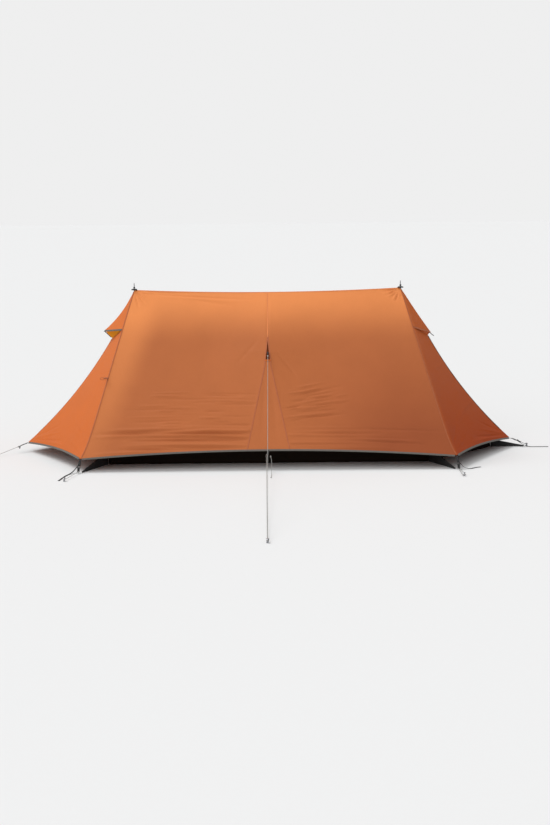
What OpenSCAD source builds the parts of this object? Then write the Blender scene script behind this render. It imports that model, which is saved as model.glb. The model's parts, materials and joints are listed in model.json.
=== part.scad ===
// Ridge tent pitched on two trekking poles: an orange fly with a pulled-out side gusset and a
// hooded vent at each end, a dark inner tent, telescopic poles, straps, guy lines and pegs.
// X runs along the ridge, the front is -Y, Z is up and the ground is z = 0.

/* [Fly] */
// Height of the grommets at the ridge's ends
ridge_h = 1150; // [1000:10:1380]
// Half the length of the ridge, from its middle to a grommet
ridge_half = 943; // [850:1:1140]
// How far the middle of the ridge hangs below its ends
ridge_sag = 23; // [5:1:40]
// Half the distance between the corners, along the ridge
corner_x = 1247; // [1180:1:1500]
// Distance of the corners from the ridge's plane
corner_y = 852; // [760:1:1020]
// Height of the corners
corner_z = 89; // [75:1:110]
// Distance of the hem's middle from the ridge's plane
hem_mid_y = 826; // [740:1:1000]
// Height of the hem's middle
hem_mid_z = 135; // [110:1:170]
// Distance of the end tips from the middle
tip_x = 1730; // [1660:1:2000]
// Height of the end tips
tip_z = 66; // [60:1:90]
// How far the corner seams bow inwards before they flare to the corners
seam_bow = 24; // [5:1:30]
// How far the end ridges sag below a straight line
end_sag = 38; // [10:1:50]
// How far the end hems are cut up between corner and tip, as a share of the panel
hem_arch = 0.025; // [0:0.005:0.05]
// Thickness of the cloth solids, measured upright
fly_cloth = 2.4; // [1.5:0.1:3]
// Width of the tape that binds the hems and the vent lips
binding_w = 12; // [8:1:16]
// Gap around a door panel
door_gap = 2; // [1.5:0.1:4]

/* [Side gusset] */
// Where the guyed point lies on the way from ridge to hem, as a share
apex_share = 0.39; // [0.35:0.01:0.5]
// How far the guyed point is pulled out
apex_pull = 60; // [20:1:90]
// How far along the panel the pull is felt
pull_reach = 420; // [200:10:500]
// Half the width of the gusset at the hem
gusset_half = 141; // [80:1:180]

/* [Vents] */
// Where the vents begin on the corner seams, as a share of the seam
vent_share = 0.244; // [0.2:0.002:0.3]
// How far the panel below the vent starts beyond the ridge's end, left and right
vent_out = [167, 199]; // [120:1:240]
// How far the panel below the vent starts under the ridge's end
vent_down = 343; // [300:1:380]
// How far the vent's lip stands beyond the ridge's end, left and right
lip_out = [218, 213]; // [180:1:260]
// How far the vent's lip is under the ridge's end, left and right
lip_down = [285, 314]; // [250:1:340]
// How far the hood's ridge sags, left and right
hood_sag = [20, 3]; // [0:1:30]
// Length of a vent strut
strut_len = 74; // [60:1:80]
// Radius of a vent strut
strut_r = 2.5; // [1.5:0.1:3]

/* [Inner tent] */
// Half the length of the floor between its corners
floor_x = 1090; // [1040:1:1150]
// Half the width of the floor
floor_y = 575; // [480:1:620]
// How far the floor's pointed end reaches
floor_point_x = 1590; // [1500:1:1620]
// How deep the floor's entrance edge is cut back in the middle
floor_notch = 225; // [200:1:240]
// Height of the tray wall
wall_h = 120; // [90:1:125]
// Thickness of the floor and wall cloth
inner_cloth = 1; // [0.8:0.1:1.5]
// Half the length of the inner tent's ridge
inner_half = 800; // [700:1:820]
// How far the inner tent hangs below the fly
inner_drop = 230; // [200:1:280]
// Half the width of the port that the pole passes through
port_half = 42; // [38:1:46]
// How far the inner door's free edge is from the middle
inner_door_y = 40; // [30:1:60]

/* [Poles] */
// How far the tips stand out above the grommets
tip_out = 49; // [30:1:60]
// Outer radius of the upper tube, which stands lowest
upper_r = 9; // [8.5:0.1:10]
// Outer radius of the middle tube
middle_r = 8; // [7.6:0.1:8.2]
// Outer radius of the tip tube
tip_tube_r = 7; // [6.6:0.1:7.1]
// Radial clearance of the sliding tubes
slide_gap = 0.08; // [0.05:0.01:0.1]
// Height at which the upper tube ends
upper_top = 575; // [520:1:600]
// Height at which the middle tube ends
middle_top = 890; // [840:1:900]
// Length of a tube that stays inside the next one
tube_inside = 240; // [200:1:260]
// Radius of the foam grip
grip_r = 16; // [13:0.5:18]
// Length of the foam grip
grip_len = 210; // [120:1:240]
// Radius of the neck that passes the grommet
neck_r = 5; // [4:0.1:6]

/* [Pegs] */
// Length of a peg
peg_len = 160; // [120:1:200]
// How far a driven peg's head stands out of the ground
peg_out = 24; // [18:1:30]
// Reach of a peg's fins from its axis
peg_fin = 7; // [5:0.5:8]

/* [Straps and cords] */
// Width of the corner webbing
strap_w = 15; // [10:1:20]
// Thickness of the webbing
strap_t = 1.6; // [1.2:0.1:2]
// Diameter of the guy lines
cord_d = 3; // [2:0.1:3.5]

/* [Hidden] */
$fn = 48;
LEFT = 0;
RIGHT = 1;
air = 0.5;
inner_h = ridge_h - inner_drop;
grommet_r = neck_r + 0.1;
grommet_wall = 4;
patch_r = 20;
patch_h = 8;
peak_hole = patch_r + air;
front_cols = 9;
end_cols = 6;
hood_cols = 4;
cord_sides = 8;

// Colours
ORANGE = [0.75, 0.42, 0.26];
DARK_ORANGE = [0.62, 0.3, 0.17];
GREY = [0.55, 0.53, 0.5];
BLACK = [0.07, 0.07, 0.07];
TRAY = [0.12, 0.09, 0.08];
MESH = [0.2, 0.16, 0.15];
METAL = [0.72, 0.72, 0.74];
FOAM = [0.13, 0.13, 0.14];
LINE = [0.78, 0.75, 0.7];

// Maths
function lerp(a, b, t) = a + (b - a) * t;
function unit(v) = v / norm(v);
function flat(lists) = [for (list = lists) for (item = list) item];

// Shares of the seam at which every fly panel has a row, so that neighbours meet edge to edge
vent_rows = [for (k = [0:3]) vent_share * k / 3];
door_rows = concat(
  [for (k = [0:3]) lerp(vent_share, apex_share, k / 3)],
  [for (k = [1:9]) lerp(apex_share, 1, k / 9)]);
gusset_rows = [for (k = [0:9]) lerp(apex_share, 1, k / 9)];
panel_rows = concat([for (k = [0:2]) vent_rows[k]], door_rows);

// The fly's surface, for the right front quarter
function half_width(s) = lerp(ridge_half, corner_x, s) - seam_bow * s * (1 - pow(s, 16));
function seam(s) = [half_width(s), -corner_y * s, lerp(ridge_h, corner_z, s)];
function gusset_x(s) = gusset_half * max(0, s - apex_share) / (1 - apex_share);
function pull_at(s) = s < apex_share ? pow(s / apex_share, 1.3) : (1 - s) / (1 - apex_share);
function pull_beside(x, s) = pow(max(0, 1 - max(0, x - gusset_x(s)) / pull_reach), 1.5);
function side_point(x, s) =
  let (u = abs(x) / half_width(s), pull = apex_pull * pull_at(s) * pull_beside(abs(x), s))
  [x, -s * lerp(hem_mid_y, corner_y, u * u) - pull,
   lerp(ridge_h - ridge_sag * (1 - u * u), lerp(hem_mid_z, corner_z, u * u), s)];
function vent_base(end) = [ridge_half + vent_out[end], 0, ridge_h - vent_down];
function vent_lip(end) = [ridge_half + lip_out[end], 0, ridge_h - lip_down[end]];
function peak() = [ridge_half, 0, ridge_h];
function sagging(a, b, sag, t) =
  let (way = unit(b - a)) lerp(a, b, t) + sag * 4 * t * (1 - t) * [way.z, 0, -way.x];
function end_ridge(end, t) = sagging(vent_base(end), [tip_x, 0, tip_z], end_sag, t);
function hood_ridge(end, t) = sagging(peak(), vent_lip(end), hood_sag[end], t);
function end_point(end, s, w) =
  let (t = (s - vent_share) / (1 - vent_share), cut = t * (1 - hem_arch * 4 * w * (1 - w)))
  lerp(seam(lerp(vent_share, 1, cut)), end_ridge(end, cut), w);
function hood_point(end, s, w) =
  let (side = seam(s)) lerp(hood_ridge(end, s / vent_share), [side.x, sign(w) * side.y, side.z], abs(w));
function end_width(end, s) = norm(end_point(end, s, 1) - end_point(end, s, 0));

// A closed sheet of cloth: rows of points, and the same rows moved by drop. A first row of one
// point makes a pointed sheet.
module sheet(rows, drop = [0, 0, -fly_cloth]) {
  pointed = len(rows[0]) == 1;
  cols = len(rows[1]);
  last = len(rows) - 1;
  top = flat(rows);
  count = len(top);
  function at(i, j) = pointed ? (i == 0 ? 0 : 1 + (i - 1) * cols + j) : i * cols + j;
  upper = [for (i = [0:last - 1], j = [0:cols - 2]) each
    pointed && i == 0 ? [[at(0, 0), at(1, j), at(1, j + 1)]]
      : [[at(i, j), at(i + 1, j), at(i + 1, j + 1)], [at(i, j), at(i + 1, j + 1), at(i, j + 1)]]];
  rim = concat(
    [for (i = [0:last]) at(i, 0)],
    [for (j = [1:cols - 1]) at(last, j)],
    pointed ? [for (i = [last - 1:-1:1]) at(i, cols - 1)] : [for (i = [last - 1:-1:0]) at(i, cols - 1)],
    pointed ? [] : [for (j = [cols - 2:-1:1]) at(0, j)]);
  around = len(rim);
  polyhedron(
    points = concat(top, [for (p = top) p + drop]),
    faces = concat(
      [for (f = upper) [f[2], f[1], f[0]]],
      [for (f = upper) [f[0] + count, f[1] + count, f[2] + count]],
      [for (k = [0:around - 1]) each let (a = rim[k], b = rim[(k + 1) % around])
        [[a, b, b + count], [a, b + count, a + count]]]),
    convexity = 4);
}

// An outline swept along a path of points
module sweep(path, outline, up = [0, 0, 1]) {
  last = len(path) - 1;
  sides = len(outline);
  rings = [for (i = [0:last])
    let (way = unit(path[min(i + 1, last)] - path[max(i - 1, 0)]),
         side = unit(cross(way, up)), over = cross(side, way))
    [for (q = outline) path[i] + q[0] * side + q[1] * over]];
  polyhedron(
    points = flat(rings),
    faces = concat(
      [[for (j = [sides - 1:-1:0]) j]],
      [[for (j = [0:sides - 1]) last * sides + j]],
      [for (i = [0:last - 1], j = [0:sides - 1]) each
        let (a = i * sides + j, b = i * sides + (j + 1) % sides)
        [[a, b + sides, a + sides], [a, b, b + sides]]]),
    convexity = 6);
}
function disc(r, sides) = [for (j = [0:sides - 1]) r * [cos(360 * j / sides), sin(360 * j / sides)]];
function strap_outline(w, t) = [[-w / 2, -t / 2], [w / 2, -t / 2], [w / 2, t / 2], [-w / 2, t / 2]];
module cord(path, up = [0, 0, 1]) { sweep(path, disc(cord_d / 2, cord_sides), up); }
module strap(path, up = [0, 0, 1], w = strap_w) { sweep(path, strap_outline(w, strap_t), up); }
// A straight line in equal steps
function steps(a, b, n) = [for (k = [0:n]) lerp(a, b, k / n)];

module at_end(end) { mirror([end == LEFT ? 1 : 0, 0, 0]) children(); }
module peak_cut() {
  difference() {
    children();
    for (side = [-1, 1])
      translate([side * ridge_half, 0, ridge_h - 80]) cylinder(r = peak_hole, h = 120);
  }
}

// Fly
module half_panel() {
  sheet([for (s = panel_rows) [for (j = [0:front_cols])
    side_point(lerp(gusset_x(s), half_width(s), j / front_cols), s)]]);
}
module side_panels() { peak_cut() for (side = [0, 1]) mirror([side, 0, 0]) half_panel(); }
module fly_front_panels() { color(ORANGE) side_panels(); }
module fly_back_panels() { color(ORANGE) mirror([0, 1, 0]) side_panels(); }
module gusset() {
  sheet([for (s = gusset_rows) s == apex_share ? [side_point(0, s)]
    : [for (j = [-2:2]) side_point(gusset_x(s) * j / 2, s)]]);
}
module fly_gussets() { color(ORANGE) for (side = [0, 1]) mirror([0, side, 0]) gusset(); }
// The cloth that closes a vent on the fixed side, behind the hood's lip and the end panel's edge
gore_columns = [for (k = [0:3]) lerp(0.85, 0.08, k / 3)];
module gore(end) {
  clear = fly_cloth + 2 * air;
  sheet([
    [for (w = gore_columns) hood_point(end, vent_share, w) - [clear, 0, clear]],
    [for (w = gore_columns) end_point(end, vent_share, 1 - w) + [-clear, 0, air]]],
    [-fly_cloth, 0, 0]);
}
module vent_hoods() {
  color(DARK_ORANGE) {
    peak_cut() for (end = [LEFT, RIGHT]) at_end(end)
      sheet([for (s = vent_rows) s == 0 ? [peak()]
        : [for (j = [-hood_cols:hood_cols]) hood_point(end, s, -j / hood_cols)]]);
    at_end(LEFT) mirror([0, 1, 0]) gore(LEFT);
    gore(RIGHT);
  }
}
// A fixed half of an end, on the back (y > 0) when mirrored
module end_panel(end) {
  sheet([for (s = door_rows) [for (j = [0:end_cols]) end_point(end, s, j / end_cols)]]);
}
module fly_end_panels() {
  color(DARK_ORANGE) {
    at_end(LEFT) mirror([0, 1, 0]) end_panel(LEFT);
    end_panel(RIGHT);
  }
}
function inset(end, s, w) = let (edge = door_gap / end_width(end, s)) lerp(edge, 1 - edge, w);
function door_row(s) = s == vent_share ? vent_share + 0.012 : s;
module door_panel(end) {
  sheet([for (k = door_rows) let (s = door_row(k))
    [for (j = [0:end_cols]) end_point(end, s, inset(end, s, j / end_cols))]]);
}
module left_door() { color(DARK_ORANGE) at_end(LEFT) door_panel(LEFT); }
module right_door() { color(DARK_ORANGE) mirror([0, 1, 0]) door_panel(RIGHT); }

// Binding tape, which carries a panel's edge on by its own width
module bound(edge, way) { sheet([edge, [for (p = edge) p + binding_w * way]]); }
function trimmed(edge, cut) = let (last = len(edge) - 1)
  [for (k = [0:last]) k == 0 ? lerp(edge[0], edge[1], cut)
    : k == last ? lerp(edge[last], edge[last - 1], cut) : edge[k]];
function end_columns(end, is_door) =
  [for (j = [0:end_cols]) is_door ? inset(end, 1, j / end_cols) : j / end_cols];
module end_hem(end, is_door) {
  bound(trimmed([for (w = end_columns(end, is_door)) end_point(end, 1, w)], 0.12),
    unit(end_point(end, 1, 0.5) - end_point(end, 0.94, 0.5)));
}
module side_hem() {
  half = [for (j = [0:front_cols]) lerp(gusset_half, half_width(1), j / front_cols)];
  columns = concat([for (k = [front_cols:-1:0]) -half[k]],
    [for (j = [-1:1]) gusset_half * j / 2], half);
  bound(trimmed([for (x = columns) side_point(x, 1)], 0.08), unit([0, -hem_mid_y, hem_mid_z - ridge_h]));
}
module vent_tape(end) {
  bound(trimmed([for (j = [-hood_cols:hood_cols]) hood_point(end, vent_share, -j / hood_cols)], 0.15),
    unit(vent_lip(end) - peak()));
}
module edge_binding() {
  color(GREY) {
    for (side = [0, 1]) mirror([0, side, 0]) side_hem();
    at_end(LEFT) mirror([0, 1, 0]) end_hem(LEFT, false);
    end_hem(RIGHT, false);
    for (end = [LEFT, RIGHT]) at_end(end) vent_tape(end);
  }
}
module left_door_binding() { color(GREY) at_end(LEFT) end_hem(LEFT, true); }
module right_door_binding() { color(GREY) mirror([0, 1, 0]) end_hem(RIGHT, true); }

module at_peaks() { for (side = [-1, 1]) translate([side * ridge_half, 0, ridge_h]) children(); }
module peak_patches() {
  color(BLACK) at_peaks() translate([0, 0, -1]) difference() {
    cylinder(r = patch_r, h = patch_h);
    translate([0, 0, -1]) cylinder(r = grommet_r + grommet_wall + 0.05, h = patch_h + 2);
  }
}
module grommets() {
  color(METAL) at_peaks() translate([0, 0, -2]) difference() {
    cylinder(r = grommet_r + grommet_wall, h = patch_h + 2);
    translate([0, 0, -1]) cylinder(r = grommet_r, h = patch_h + 4);
  }
}
// Webbing loops at the pulled-out points and at the hem's middle
loop_tube = 2;
loop_r = 9;
module loop_ring() {
  rotate_extrude($fn = 48) translate([loop_r, 0]) circle(r = loop_tube, $fn = 16);
}
apex_ring = [0, -48, -12];
module guy_loops() {
  apex = side_point(0, apex_share);
  hem = side_point(0, 1);
  color(BLACK) for (side = [0, 1]) mirror([0, side, 0]) {
    translate(apex + apex_ring) rotate([0, 90, 0]) loop_ring();
    strap(steps(apex + [0, -6, -1], apex + 0.7 * apex_ring, 2), [0, 0, 1], 10);
    translate([0, hem.y - binding_w - loop_r - loop_tube, hem.z - 22]) rotate([0, 90, 0]) loop_ring();
  }
}

// Vent struts
// A rod along a way in the ridge's plane
module rod(from, way, length) {
  translate(from) rotate([0, atan2(way.x, way.z), 0]) cylinder(r = strut_r, h = length);
}
module left_vent_strut() {
  lip = vent_lip(LEFT) + [0, 0, -fly_cloth - strut_r - 1];
  foot = vent_base(LEFT) + [0, 0, strut_r + 1];
  color(BLACK) at_end(LEFT) rod(lip + 5 * unit(foot - lip), foot - lip, norm(foot - lip) - 10);
}
strut_way = [0.8, 0, -0.6];
strut_under = 42;
module right_vent_strut() {
  color(BLACK) rod(vent_lip(RIGHT) + [0, 0, -12] - strut_under * strut_way, strut_way, strut_len);
}

// Door zips: a tape beside each end ridge and a slider at its foot
zip_t = 1.5;
zip_rows = [for (k = [0:10]) lerp(vent_share + 0.01, 0.93, k / 10)];
module zip_tape(end) {
  sheet([for (s = zip_rows) let (wide = end_width(end, s))
    [for (off = [14, 3]) end_point(end, s, 1 - off / wide) + [0, 0, zip_t + 2 * air]]],
    [0, 0, -zip_t]);
}
module door_zips() {
  color(BLACK) {
    at_end(LEFT) mirror([0, 1, 0]) zip_tape(LEFT);
    zip_tape(RIGHT);
  }
}
function slider_way(end) =
  let (low = end_ridge(end, 0.93), high = end_ridge(end, 0.8)) unit(high - low);
slider_lift = 10;
module zip_slider(end) {
  way = slider_way(end);
  translate(end_ridge(end, 0.93) + [0, -8, 0]) rotate([0, -atan2(way.z, way.x), 0]) {
    translate([0, -4, slider_lift]) cube([14, 8, 4]);
    translate([-24, -3, slider_lift + 1]) cube([26, 6, 1.6]);
  }
}
module left_zip_slider() { color(METAL) at_end(LEFT) mirror([0, 1, 0]) zip_slider(LEFT); }
module right_zip_slider() { color(METAL) zip_slider(RIGHT); }

// Toggle and loop that hold a rolled-back door
tieback_share = 0.55;
module tieback(end) {
  seat = seam(tieback_share) + [6, -16, 14];
  translate(seat) {
    rotate([0, 90, 0]) translate([0, 0, -18]) cylinder(r = 4, h = 36);
    translate([0, -7, 0]) rotate([90, 0, 0]) loop_ring();
  }
}
module door_tiebacks() {
  color(DARK_ORANGE) {
    at_end(LEFT) tieback(LEFT);
    mirror([0, 1, 0]) tieback(RIGHT);
  }
}

// Inner tent
floor_outline = [
  [-floor_x, -floor_y], [floor_x, -floor_y], [floor_point_x, 0], [floor_x, floor_y],
  [-floor_x, floor_y], [-floor_x + floor_notch, 0]];
module inner_floor() { color(TRAY) linear_extrude(inner_cloth) polygon(floor_outline); }
module inner_wall() {
  color(TRAY) translate([0, 0, inner_cloth]) linear_extrude(wall_h - inner_cloth) difference() {
    polygon(floor_outline);
    offset(delta = -inner_cloth) polygon(floor_outline);
  }
}
inner_front = [floor_x, -floor_y, wall_h + inner_cloth + air];
inner_top = [inner_half, 0, inner_h];
function mirrored_x(p) = [-p.x, p.y, p.z];
module side_mesh() {
  sheet([[mirrored_x(inner_top), inner_top], [mirrored_x(inner_front), inner_front]], [0, 0, -inner_cloth]);
}
module inner_side_mesh() { color(MESH) for (side = [0, 1]) mirror([0, side, 0]) side_mesh(); }
// The pointed end's mesh leaves a port around the pole
port_rows = [0.04, 0.06, 0.14, 0.3, 0.44, 0.7, 1];
inner_point = [floor_point_x - 3, 0, wall_h + inner_cloth + air];
function port_y(x) = max(0.3, min(port_half, 130 - abs(x - ridge_half)));
module point_mesh() {
  sheet([for (t = port_rows) let (mid = lerp(inner_top, inner_point, t), side = lerp(inner_top, inner_front, t))
    [side + [air, 0, 0], [mid.x, -port_y(mid.x) * min(1, t * 16), mid.z]]], [0, 0, -inner_cloth]);
}
entry_out = inner_cloth + air;
entry_foot = [floor_notch - floor_x - entry_out, 0, wall_h + air];
entry_corner = [-floor_x - entry_out, -floor_y, wall_h + air];
door_lift = [0, 0, 4];
entry_top = [-inner_half - entry_out, 0, inner_h - 1];
entry_drop = [inner_cloth, 0, 0];
function door_edge(t, y) = let (p = lerp(entry_top, entry_foot, t), q = lerp(entry_top, entry_corner, t),
  share = t == 0 ? 0 : y * t / abs(q.y)) lerp(p, q, share);
module inner_end_mesh() {
  color(MESH) {
    for (side = [0, 1]) mirror([0, side, 0]) point_mesh();
    mirror([0, 1, 0]) sheet([[entry_top], [entry_foot, entry_corner]], entry_drop);
    sheet([[entry_top - [0, 0, 4]], [entry_foot, door_edge(1, inner_door_y - door_gap)]], entry_drop);
  }
}
module inner_door() {
  t0 = 0.06;
  color(MESH) sheet([for (t = [t0, 1])
    [door_edge(t, inner_door_y) + door_lift, lerp(entry_top, entry_corner, t) + [0, 4, 0] + door_lift]],
    entry_drop);
}
// Tie-out webs at the floor's corners and pointed end, and the hangers under the ridge
tie_end = [corner_x - 12, corner_y + 28];
module web(from, to, high, low) {
  way = to - from;
  translate([from.x, from.y, 0]) rotate([0, 0, atan2(way.y, way.x)]) rotate([90, 0, 0])
    translate([0, 0, -inner_cloth / 2]) linear_extrude(inner_cloth)
      polygon([[1, 0.2], [norm(way), 0.2], [norm(way), low], [1, high]]);
}
hanger_x = [-600, 0, 600];
function ridge_under(x) = ridge_h - ridge_sag * (1 - pow(x / ridge_half, 2)) - fly_cloth - 1;
module inner_ties() {
  color(BLACK) {
    for (sx = [-1, 1], sy = [-1, 1])
      web([sx * (floor_x + 1), sy * (floor_y + 1)], [sx * tie_end.x, sy * tie_end.y], wall_h - 15, 10);
    web([floor_point_x + 1, 0], [tip_x + 104, 0], 62, 8);
    for (x = hanger_x)
      translate([x - 5, -inner_cloth / 2, inner_h + air]) cube([10, inner_cloth, ridge_under(x) - inner_h - air]);
  }
}

// Poles, which stand on their grips with their tips through the grommets
foot_z = [0, inner_cloth + air];
cap_h = 20;
lock_h = 34;
module at_pole(end) { translate([end == LEFT ? -ridge_half : ridge_half, 0, 0]) children(); }
module at_both_poles() { for (end = [LEFT, RIGHT]) at_pole(end) children(); }
module ring(r, hole, h) {
  difference() {
    cylinder(r = r, h = h);
    translate([0, 0, -1]) cylinder(r = hole, h = h + 2);
  }
}
module pole_grips() {
  color(FOAM) for (end = [LEFT, RIGHT]) at_pole(end) difference() {
    translate([0, 0, foot_z[end]]) rotate_extrude() polygon([
      [0, 0], [grip_r + 2, 0], [grip_r + 4, 4], [grip_r + 3, cap_h], [grip_r - 2, cap_h + 14],
      [grip_r, 60], [grip_r - 1, 100], [grip_r - 3, grip_len - 20], [grip_r - 4, grip_len], [0, grip_len]]);
    translate([0, 0, 40]) cylinder(r = upper_r + 0.05, h = grip_len);
  }
}
// The wrist strap's loop, which lies beside the grip
wrist_at = 74;
wrist_long = 52;
wrist_wide = 30;
module pole_wrist_straps() {
  color(BLACK) for (end = [LEFT, RIGHT]) at_pole(end) translate([0, 0, foot_z[end] + 0.3])
    rotate([0, 0, 90])
      sweep([for (a = [-140:20:140]) [wrist_at + wrist_long * cos(a), wrist_wide * sin(a), strap_w / 2]],
        strap_outline(strap_t, strap_w));
}
module pole_upper_tubes() {
  color(METAL) at_both_poles() translate([0, 0, 40]) ring(upper_r, middle_r + slide_gap, upper_top - 40);
}
// A flip lock: a collar with two lugs and a pin, and the lever that swings on the pin
lug_r = 3;
pin_r = 1.2;
lever_h = 22;
function collar_r(r) = r + 3.5;
function pin_x(r) = collar_r(r) + lug_r + 0.2;
module lock_collar(r) {
  lug_h = (lock_h - lever_h) / 2;
  difference() {
    union() {
      cylinder(r = collar_r(r), h = lock_h);
      for (z = [0, lock_h - lug_h + air]) translate([0, 0, z]) {
        translate([pin_x(r), 0, 0]) cylinder(r = lug_r, h = lug_h - air);
        translate([r, -2, 0]) cube([pin_x(r) - r, 4, lug_h - air]);
      }
    }
    translate([0, 0, -1]) cylinder(r = r + 0.05, h = lock_h + 2);
  }
  translate([pin_x(r), 0, 1]) cylinder(r = pin_r, h = lock_h - 2);
}
module lock_lever(r) {
  inner = collar_r(r) + 0.4;
  outer = inner + 3;
  translate([0, 0, (lock_h - lever_h) / 2]) difference() {
    union() {
      translate([pin_x(r), 0, 0]) cylinder(r = lug_r - 0.2, h = lever_h);
      linear_extrude(lever_h) intersection() {
        difference() { circle(r = outer); circle(r = inner); }
        polygon([[0, 0], [40, 2], [40, 40], [-22, 40]]);
      }
    }
    translate([pin_x(r), 0, -1]) cylinder(r = pin_r + 0.08, h = lever_h + 2);
  }
}
lower_lock_z = upper_top - 28;
upper_lock_z = middle_top - 28;
module pole_lower_locks() {
  color(BLACK) at_both_poles() translate([0, 0, lower_lock_z]) lock_collar(upper_r);
}
module pole_middle(end) {
  color(METAL) at_pole(end) translate([0, 0, upper_top - tube_inside])
    ring(middle_r, tip_tube_r + slide_gap, middle_top - upper_top + tube_inside);
}
module pole_upper_lock(end) { color(BLACK) at_pole(end) translate([0, 0, upper_lock_z]) lock_collar(middle_r); }
module pole_tip(end) {
  shoulder = ridge_h - 60;
  bottom = middle_top - tube_inside;
  top = ridge_h + tip_out;
  color(METAL) at_pole(end) rotate_extrude() polygon([
    [0, bottom], [tip_tube_r, bottom], [tip_tube_r, shoulder], [neck_r, shoulder + 40],
    [neck_r, ridge_h + 14], [neck_r - 1.5, ridge_h + 18], [neck_r - 1.5, ridge_h + 34],
    [neck_r - 2.6, top], [0, top]]);
}
module left_pole_middle() { pole_middle(LEFT); }
module right_pole_middle() { pole_middle(RIGHT); }
module left_pole_upper_lock() { pole_upper_lock(LEFT); }
module right_pole_upper_lock() { pole_upper_lock(RIGHT); }
module left_pole_tip() { pole_tip(LEFT); }
module right_pole_tip() { pole_tip(RIGHT); }
module lever(end, z, r) { color(GREY) at_pole(end) translate([0, 0, z]) lock_lever(r); }
module left_lower_lever() { lever(LEFT, lower_lock_z, upper_r); }
module left_upper_lever() { lever(LEFT, upper_lock_z, middle_r); }
module right_lower_lever() { lever(RIGHT, lower_lock_z, upper_r); }
module right_upper_lever() { lever(RIGHT, upper_lock_z, middle_r); }

// Corner straps. Each front corner has a strap down to a buckle and a short strap below it;
// the back corners have a strap with a loop straight to the peg.
corner = [corner_x, -corner_y, corner_z];
buckle_seat = corner + [5, -42, -46];
strap_foot = corner + [7, -62, -74];
buckle_len = 22;
buckle_w = 22;
module corner_strap() {
  way = unit(buckle_seat - corner);
  strap(steps(corner + [1, -6, -9], buckle_seat - (buckle_len / 2 + 2) * way, 3));
  strap(steps(buckle_seat + (buckle_len / 2 + 2) * way, strap_foot, 2));
}
end_seat = [tip_x + 52, 0, 44];
end_foot = [tip_x + 104, 0, 22];
back_peg = [corner_x + 16, corner_y + 160];
module corner_webbing() {
  color(BLACK) {
    for (side = [0, 1]) mirror([side, 0, 0]) {
      corner_strap();
      strap(steps([corner_x + 1, corner_y + 6, corner_z - 9], [back_peg.x - 1, back_peg.y - peg_fin - 5, 14], 4));
    }
    way = unit(end_seat - [tip_x, 0, tip_z]);
    strap(steps([tip_x + 4, 0, tip_z - 5], end_seat - (buckle_len / 2 + 2) * way, 2));
    strap(steps(end_seat + (buckle_len / 2 + 2) * way, end_foot, 2));
    strap(steps([-tip_x - 4, -3, tip_z - 6], [-tip_x - 44, -60, 50], 2));
  }
}
// Ladder-lock buckle: a plate with two slots, centred on its seat
module buckle(seat, way) {
  translate(seat) rotate([0, 0, atan2(way.y, way.x)]) rotate([0, -asin(unit(way).z), 0])
    translate([-buckle_len / 2, -buckle_w / 2, -2]) difference() {
      cube([buckle_len, buckle_w, 4]);
      for (x = [4, 13]) translate([x, 3, -1]) cube([5, buckle_w - 6, 6]);
    }
}
corner_way = unit(buckle_seat - corner);
module front_left_buckle() { color(BLACK) mirror([1, 0, 0]) buckle(buckle_seat, corner_way); }
module front_right_buckle() { color(BLACK) buckle(buckle_seat, corner_way); }
module right_end_buckle() { color(BLACK) buckle(end_seat, unit(end_seat - [tip_x, 0, tip_z])); }

// Pegs, driven in. Each has three fins, a head and a notch for the line.
module peg(x, y) {
  depth = peg_len - peg_out;
  color(METAL) translate([x, y, 0]) difference() {
    union() {
      for (a = [90, 210, 330]) rotate([0, 0, a]) rotate([90, 0, 0]) translate([0, 0, -0.8])
        linear_extrude(1.6) polygon([
          [0, -depth], [peg_fin, 26 - depth], [peg_fin, peg_out - 12], [peg_fin - 3, peg_out - 12],
          [peg_fin - 3, peg_out - 5], [0, peg_out - 5]]);
      translate([0, 0, peg_out - 5]) cylinder(r = peg_fin + 1, h = 5);
    }
    translate([0, 0, peg_out - 3]) cylinder(r = 3, h = 4);
  }
}
front_left_peg = [-1310, -1180];
front_right_peg = [1262, -1120];
left_end_peg = [-1918, -258];
right_end_peg = [1854, 0];
guy_peg = [0, -2944];
module peg_front_left() { peg(front_left_peg.x, front_left_peg.y); }
module peg_front_right() { peg(front_right_peg.x, front_right_peg.y); }
module peg_back_left() { peg(-back_peg.x, back_peg.y); }
module peg_back_right() { peg(back_peg.x, back_peg.y); }
module peg_left_end() { peg(left_end_peg.x, left_end_peg.y); }
module peg_right_end() { peg(right_end_peg.x, right_end_peg.y); }
module peg_front_guy() { peg(guy_peg.x, guy_peg.y); }

// Guy lines and strap tails, along points chosen by hand
module front_guy() { color(LINE) cord(steps([0, -441, 724], [0, -2930, 15], 20)); }
hem_guy_start = [-14, -860, 110];
hem_guy_end = [-2, -2930, 8];
module front_hem_guy() { color(LINE) cord(steps(hem_guy_start, hem_guy_end, 16)); }
hem_guy_way = unit(hem_guy_end - hem_guy_start);
adjuster_at = 60;
adjuster_len = 22;
module hem_adjuster() {
  color(BLACK) translate(hem_guy_start + adjuster_at * hem_guy_way)
    rotate([0, 0, atan2(hem_guy_way.y, hem_guy_way.x)]) rotate([0, 90 - asin(hem_guy_way.z), 0])
      difference() {
        translate([-3.5, -7, 0]) cube([7, 14, adjuster_len]);
        translate([0, 0, -1]) cylinder(r = cord_d / 2 + 0.3, h = adjuster_len + 2);
      }
}
hem_tail_path = [
  [14, -918, 104], [18, -930, 90], [20, -950, 66], [20, -975, 42], [19, -1000, 24], [19, -1025, 12],
  [18, -1050, 5], [18, -1075, 2], [17, -1100, 1.6], [16, -1125, 1.6]];
module front_hem_tail() { color(LINE) cord(hem_tail_path); }
module left_guy() { color(LINE) cord(steps([-1776, -63, 49], [-1910, -247, 14], 14)); }
module front_left_cord() { color(LINE) cord(steps([-1254, -920, 14], [-1306, -1168, 12], 12)); }
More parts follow.
